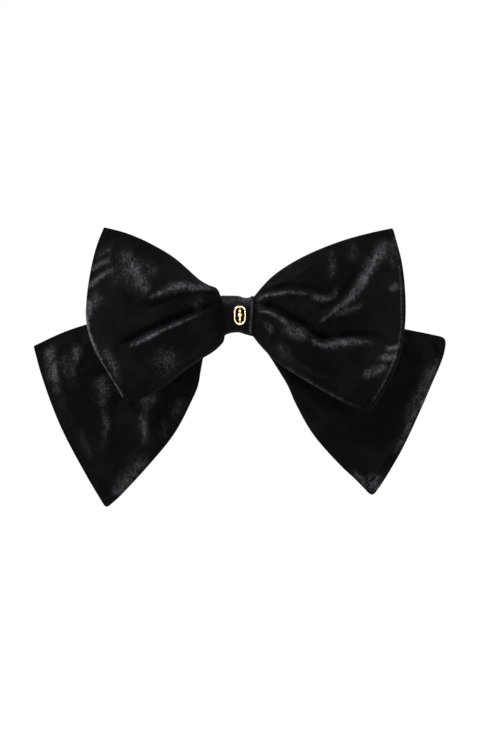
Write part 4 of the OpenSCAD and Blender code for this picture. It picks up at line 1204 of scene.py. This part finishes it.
def bead_line(wire, sink, pitch):
    """The crest of the ornament's oval wire in metres, one bead short of closing, and the pitch that fits."""
    centre, half = (ORNAMENT_LOW + ORNAMENT_HIGH) / 2, (ORNAMENT_HIGH - ORNAMENT_LOW - wire) / 2
    crest = WRAP_LOW[1] - SEAT - wire + sink
    turn = np.linspace(0, 2 * np.pi, 361) + BEAD_START
    z = half[0] * np.sin(turn) + np.sign(np.sin(turn)) * (half[2] - half[0])
    oval = np.stack([centre[0] + half[0] * np.cos(turn), crest + 0 * turn, centre[2] + z], axis=-1)
    run = np.concatenate([[0], np.cumsum(np.linalg.norm(np.diff(oval, axis=0), axis=1))])
    step = run[-1] / round(run[-1] / pitch)
    nearly = 0.99 * step
    at = np.linspace(0, run[-1] - nearly, 240)
    return np.stack([np.interp(at, run, oval[:, k]) for k in range(3)], axis=-1) * MM, step


def make_ornament():
    """Gilds the ornament, and sets a string of beads on its wire."""
    gilt = finish_of("pale_gilt", lambda n: plated_metal(n, (1.0, 0.80, 0.50), (1.0, 0.88, 0.64), 0.22))
    set_finish(["ornament", "ornament_washer"], gilt)
    beads = bpy.context.scene.bow_beads
    line, step = bead_line(beads.wire, beads.sink, beads.size + beads.gap)
    obj = run_nodes("ornament_beading", [line], stitch_tree(), {
        "Stitch Length": beads.size * MM, "Gap": (step - beads.size) * MM, "Thread": beads.size * MM,
        "Finish": gilt,
    })
    if not obj.data.polygons:
        raise RuntimeError("no beads were set on the ornament")
    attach(obj, "bow")


def make_thread():
    """Gives the windings and the hand stitches their thread."""
    thread = finish_of("black_thread", thread_finish)
    set_finish(["waist_thread", "knot_seam_stitches", "plate_stitches"], thread)


def make_barrette():
    """Nickel for the plate, the arm and the rivets, steel for the springs, both brushed lengthwise."""
    nickel = finish_of("nickel_plate", lambda n: plated_metal(
        n, (0.50, 0.49, 0.46), (0.64, 0.63, 0.60), 0.24, brushed=(0.06, 1, 1), brush_depth=0.012
    ))
    steel = finish_of("spring_steel", lambda n: plated_metal(
        n, (0.42, 0.42, 0.43), (0.55, 0.55, 0.56), 0.32, brushed=(0.04, 1, 1.4), brush_depth=0.014
    ))
    set_finish(["barrette_plate", "clasp_arm", "catch_bracket", "hinge_rivet", "catch_rivet"], nickel)
    set_finish(["tension_bar", "catch_tab_upper", "catch_tab_lower"], steel)


# ---- Stage ----

def aimed(obj, target):
    """Turns a camera or light to look at a place."""
    obj.rotation_euler = (Vector(target) - obj.location).to_track_quat("-Z", "Y").to_euler()


def area_light(name, place, target, size, power):
    """A white rectangular light, aimed at the target."""
    data = bpy.data.lights.new(name, "AREA")
    data.shape = "RECTANGLE"
    data.size, data.size_y = size
    data.energy = power
    light = bpy.data.objects.new(name, data)
    light.location = place
    aimed(light, target)
    bpy.context.scene.collection.objects.link(light)


def make_stage():
    """The camera, the lights, a surround that is white to look at and dimmer as light, and the floor."""
    scene = bpy.context.scene
    stage = scene.bow_stage
    target = (0.00125, (WRAP_LOW[1] + WRAP_HIGH[1]) / 2 * MM, -0.02625)
    camera_data = bpy.data.cameras.new("camera")
    camera_data.sensor_fit = "VERTICAL"
    camera_data.sensor_height = 36.0
    camera_data.lens = camera_data.sensor_height * stage.camera_distance / stage.view_height
    camera = bpy.data.objects.new("camera", camera_data)
    camera.location = (target[0], target[1] - stage.camera_distance, target[2])
    aimed(camera, target)
    scene.collection.objects.link(camera)
    scene.camera = camera
    scene.view_settings.view_transform = "Standard"

    middle = (0, -0.02, -0.02)
    area_light("key_light", (-0.75, -0.75, 1.05), middle, (0.7, 0.5), stage.key_power)
    area_light("fill_light", (0.95, -0.8, 0.75), middle, (0.6, 0.6), stage.fill_power)
    area_light("left_strip", (-1.0, -0.12, 0.05), middle, (0.25, 0.9), stage.side_power)
    area_light("right_strip", (1.0, -0.12, 0.05), middle, (0.25, 0.9), stage.side_power)
    area_light("back_light", (-0.5, 0.9, 1.2), middle, (1.3, 0.8), stage.back_power)

    world = bpy.data.worlds.new("studio")
    world.use_nodes = True
    tree = world.node_tree
    tree.nodes.clear()
    seen = tree.nodes.new("ShaderNodeBackground")
    lit = tree.nodes.new("ShaderNodeBackground")
    lit.inputs["Strength"].default_value = stage.ambient
    for node in (seen, lit):
        node.inputs["Color"].default_value = (1, 1, 1, 1)
    chosen = tree.nodes.new("ShaderNodeMixShader")
    rays = tree.nodes.new("ShaderNodeLightPath")
    tree.links.new(rays.outputs["Is Camera Ray"], chosen.inputs[0])
    tree.links.new(lit.outputs[0], chosen.inputs[1])
    tree.links.new(seen.outputs[0], chosen.inputs[2])
    output = tree.nodes.new("ShaderNodeOutputWorld")
    tree.links.new(chosen.outputs[0], output.inputs[0])
    scene.world = world

    f = Finish("pale_floor")
    cloud = f.noise(120, 2.0)
    paper = f.surface(
        Base_Color=f.blend(cloud, (0.5, 0.5, 0.5), (0.54, 0.54, 0.54)), Roughness=0.8 + 0.1 * cloud,
        Specular_IOR_Level=0.2, Emission_Color=(1.0, 1.0, 1.0, 1.0), Emission_Strength=0.5,
    )
    near, far, side, level = -4.0, 0.85, 4.0, -0.30
    corners = np.array([(-side, near, level), (side, near, level), (side, far, level), (-side, far, level)])
    floor = mesh_object("floor", corners, np.array([[0, 1, 2, 3]]), paper)


# ---- Operators and panel ----

class BowStep:
    """What every operator here shares"""

    bl_options = {"REGISTER", "UNDO"}

    @classmethod
    def poll(cls, context):
        return context.scene is not None


class BOW_OT_stage(BowStep, bpy.types.Operator):
    """Set up the camera, the lights and the pale floor"""

    bl_idname = "bow.stage"
    bl_label = "Set the Stage"

    def execute(self, context):
        make_stage()
        return {"FINISHED"}


class BOW_OT_loops(BowStep, bpy.types.Operator):
    """Sew, stuff and fold the pair of loops"""

    bl_idname = "bow.loops"
    bl_label = "Make the Loops"

    def execute(self, context):
        make_loops()
        return {"FINISHED"}


class BOW_OT_tails(BowStep, bpy.types.Operator):
    """Sew, stuff and fold the pair of tails"""

    bl_idname = "bow.tails"
    bl_label = "Make the Tails"

    def execute(self, context):
        make_tails()
        return {"FINISHED"}


class BOW_OT_topstitching(BowStep, bpy.types.Operator):
    """Lay the stitches beside the outer edges of the loops and the tails"""

    bl_idname = "bow.topstitching"
    bl_label = "Lay the Topstitching"

    def execute(self, context):
        make_topstitching()
        return {"FINISHED"}


class BOW_OT_knot(BowStep, bpy.types.Operator):
    """Wrap the velvet strip round the waist"""

    bl_idname = "bow.knot"
    bl_label = "Wrap the Knot"

    def execute(self, context):
        make_knot()
        return {"FINISHED"}


class BOW_OT_ornament(BowStep, bpy.types.Operator):
    """Gild the ornament on the knot"""

    bl_idname = "bow.ornament"
    bl_label = "Gild the Ornament"

    def execute(self, context):
        make_ornament()
        return {"FINISHED"}


class BOW_OT_thread(BowStep, bpy.types.Operator):
    """Give the windings and hand stitches their thread"""

    bl_idname = "bow.thread"
    bl_label = "Finish the Thread"

    def execute(self, context):
        make_thread()
        return {"FINISHED"}


class BOW_OT_barrette(BowStep, bpy.types.Operator):
    """Plate the barrette and temper its springs"""

    bl_idname = "bow.barrette"
    bl_label = "Finish the Barrette"

    def execute(self, context):
        make_barrette()
        return {"FINISHED"}


class BOW_PT_panel(bpy.types.Panel):
    """The steps of the bow, in the order they are made"""

    bl_idname = "BOW_PT_panel"
    bl_label = "Hair Bow"
    bl_space_type = "VIEW_3D"
    bl_region_type = "UI"
    bl_category = "Hair Bow"

    def draw(self, context):
        layout = self.layout
        for name, steps_shown in PANEL_ROWS:
            box = layout.box()
            if name:
                group = getattr(context.scene, name)
                for key in group.__annotations__:
                    box.prop(group, key)
            for step in steps_shown:
                box.operator(step.bl_idname)


GROUPS = {
    "bow_velvet": BOW_PG_velvet,
    "bow_loops": BOW_PG_loops,
    "bow_tails": BOW_PG_tails,
    "bow_stitches": BOW_PG_stitches,
    "bow_beads": BOW_PG_beads,
    "bow_stage": BOW_PG_stage,
}
OPERATORS = (
    BOW_OT_stage, BOW_OT_loops, BOW_OT_tails, BOW_OT_topstitching, BOW_OT_knot, BOW_OT_ornament,
    BOW_OT_thread, BOW_OT_barrette,
)
PANEL_ROWS = (
    ("bow_stage", (BOW_OT_stage,)),
    ("bow_velvet", ()),
    ("bow_loops", (BOW_OT_loops,)),
    ("bow_tails", (BOW_OT_tails,)),
    ("bow_stitches", (BOW_OT_topstitching,)),
    ("bow_beads", (BOW_OT_ornament,)),
    (None, (BOW_OT_knot, BOW_OT_thread, BOW_OT_barrette)),
)


def register():
    """Registers the settings, the operators and the panel."""
    for kind in (*GROUPS.values(), *OPERATORS, BOW_PT_panel):
        bpy.utils.register_class(kind)
    for name, kind in GROUPS.items():
        setattr(bpy.types.Scene, name, bpy.props.PointerProperty(type=kind))


def unregister():
    """Takes all of them away again, last first."""
    for name in GROUPS:
        delattr(bpy.types.Scene, name)
    for kind in reversed((*GROUPS.values(), *OPERATORS, BOW_PT_panel)):
        bpy.utils.unregister_class(kind)


def main():
    """Makes the whole bow, step by step."""
    register()
    bpy.ops.bow.stage()
    bpy.ops.bow.loops()
    bpy.ops.bow.tails()
    bpy.ops.bow.topstitching()
    bpy.ops.bow.knot()
    bpy.ops.bow.ornament()
    bpy.ops.bow.thread()
    bpy.ops.bow.barrette()


if __name__ == "__main__":
    main()
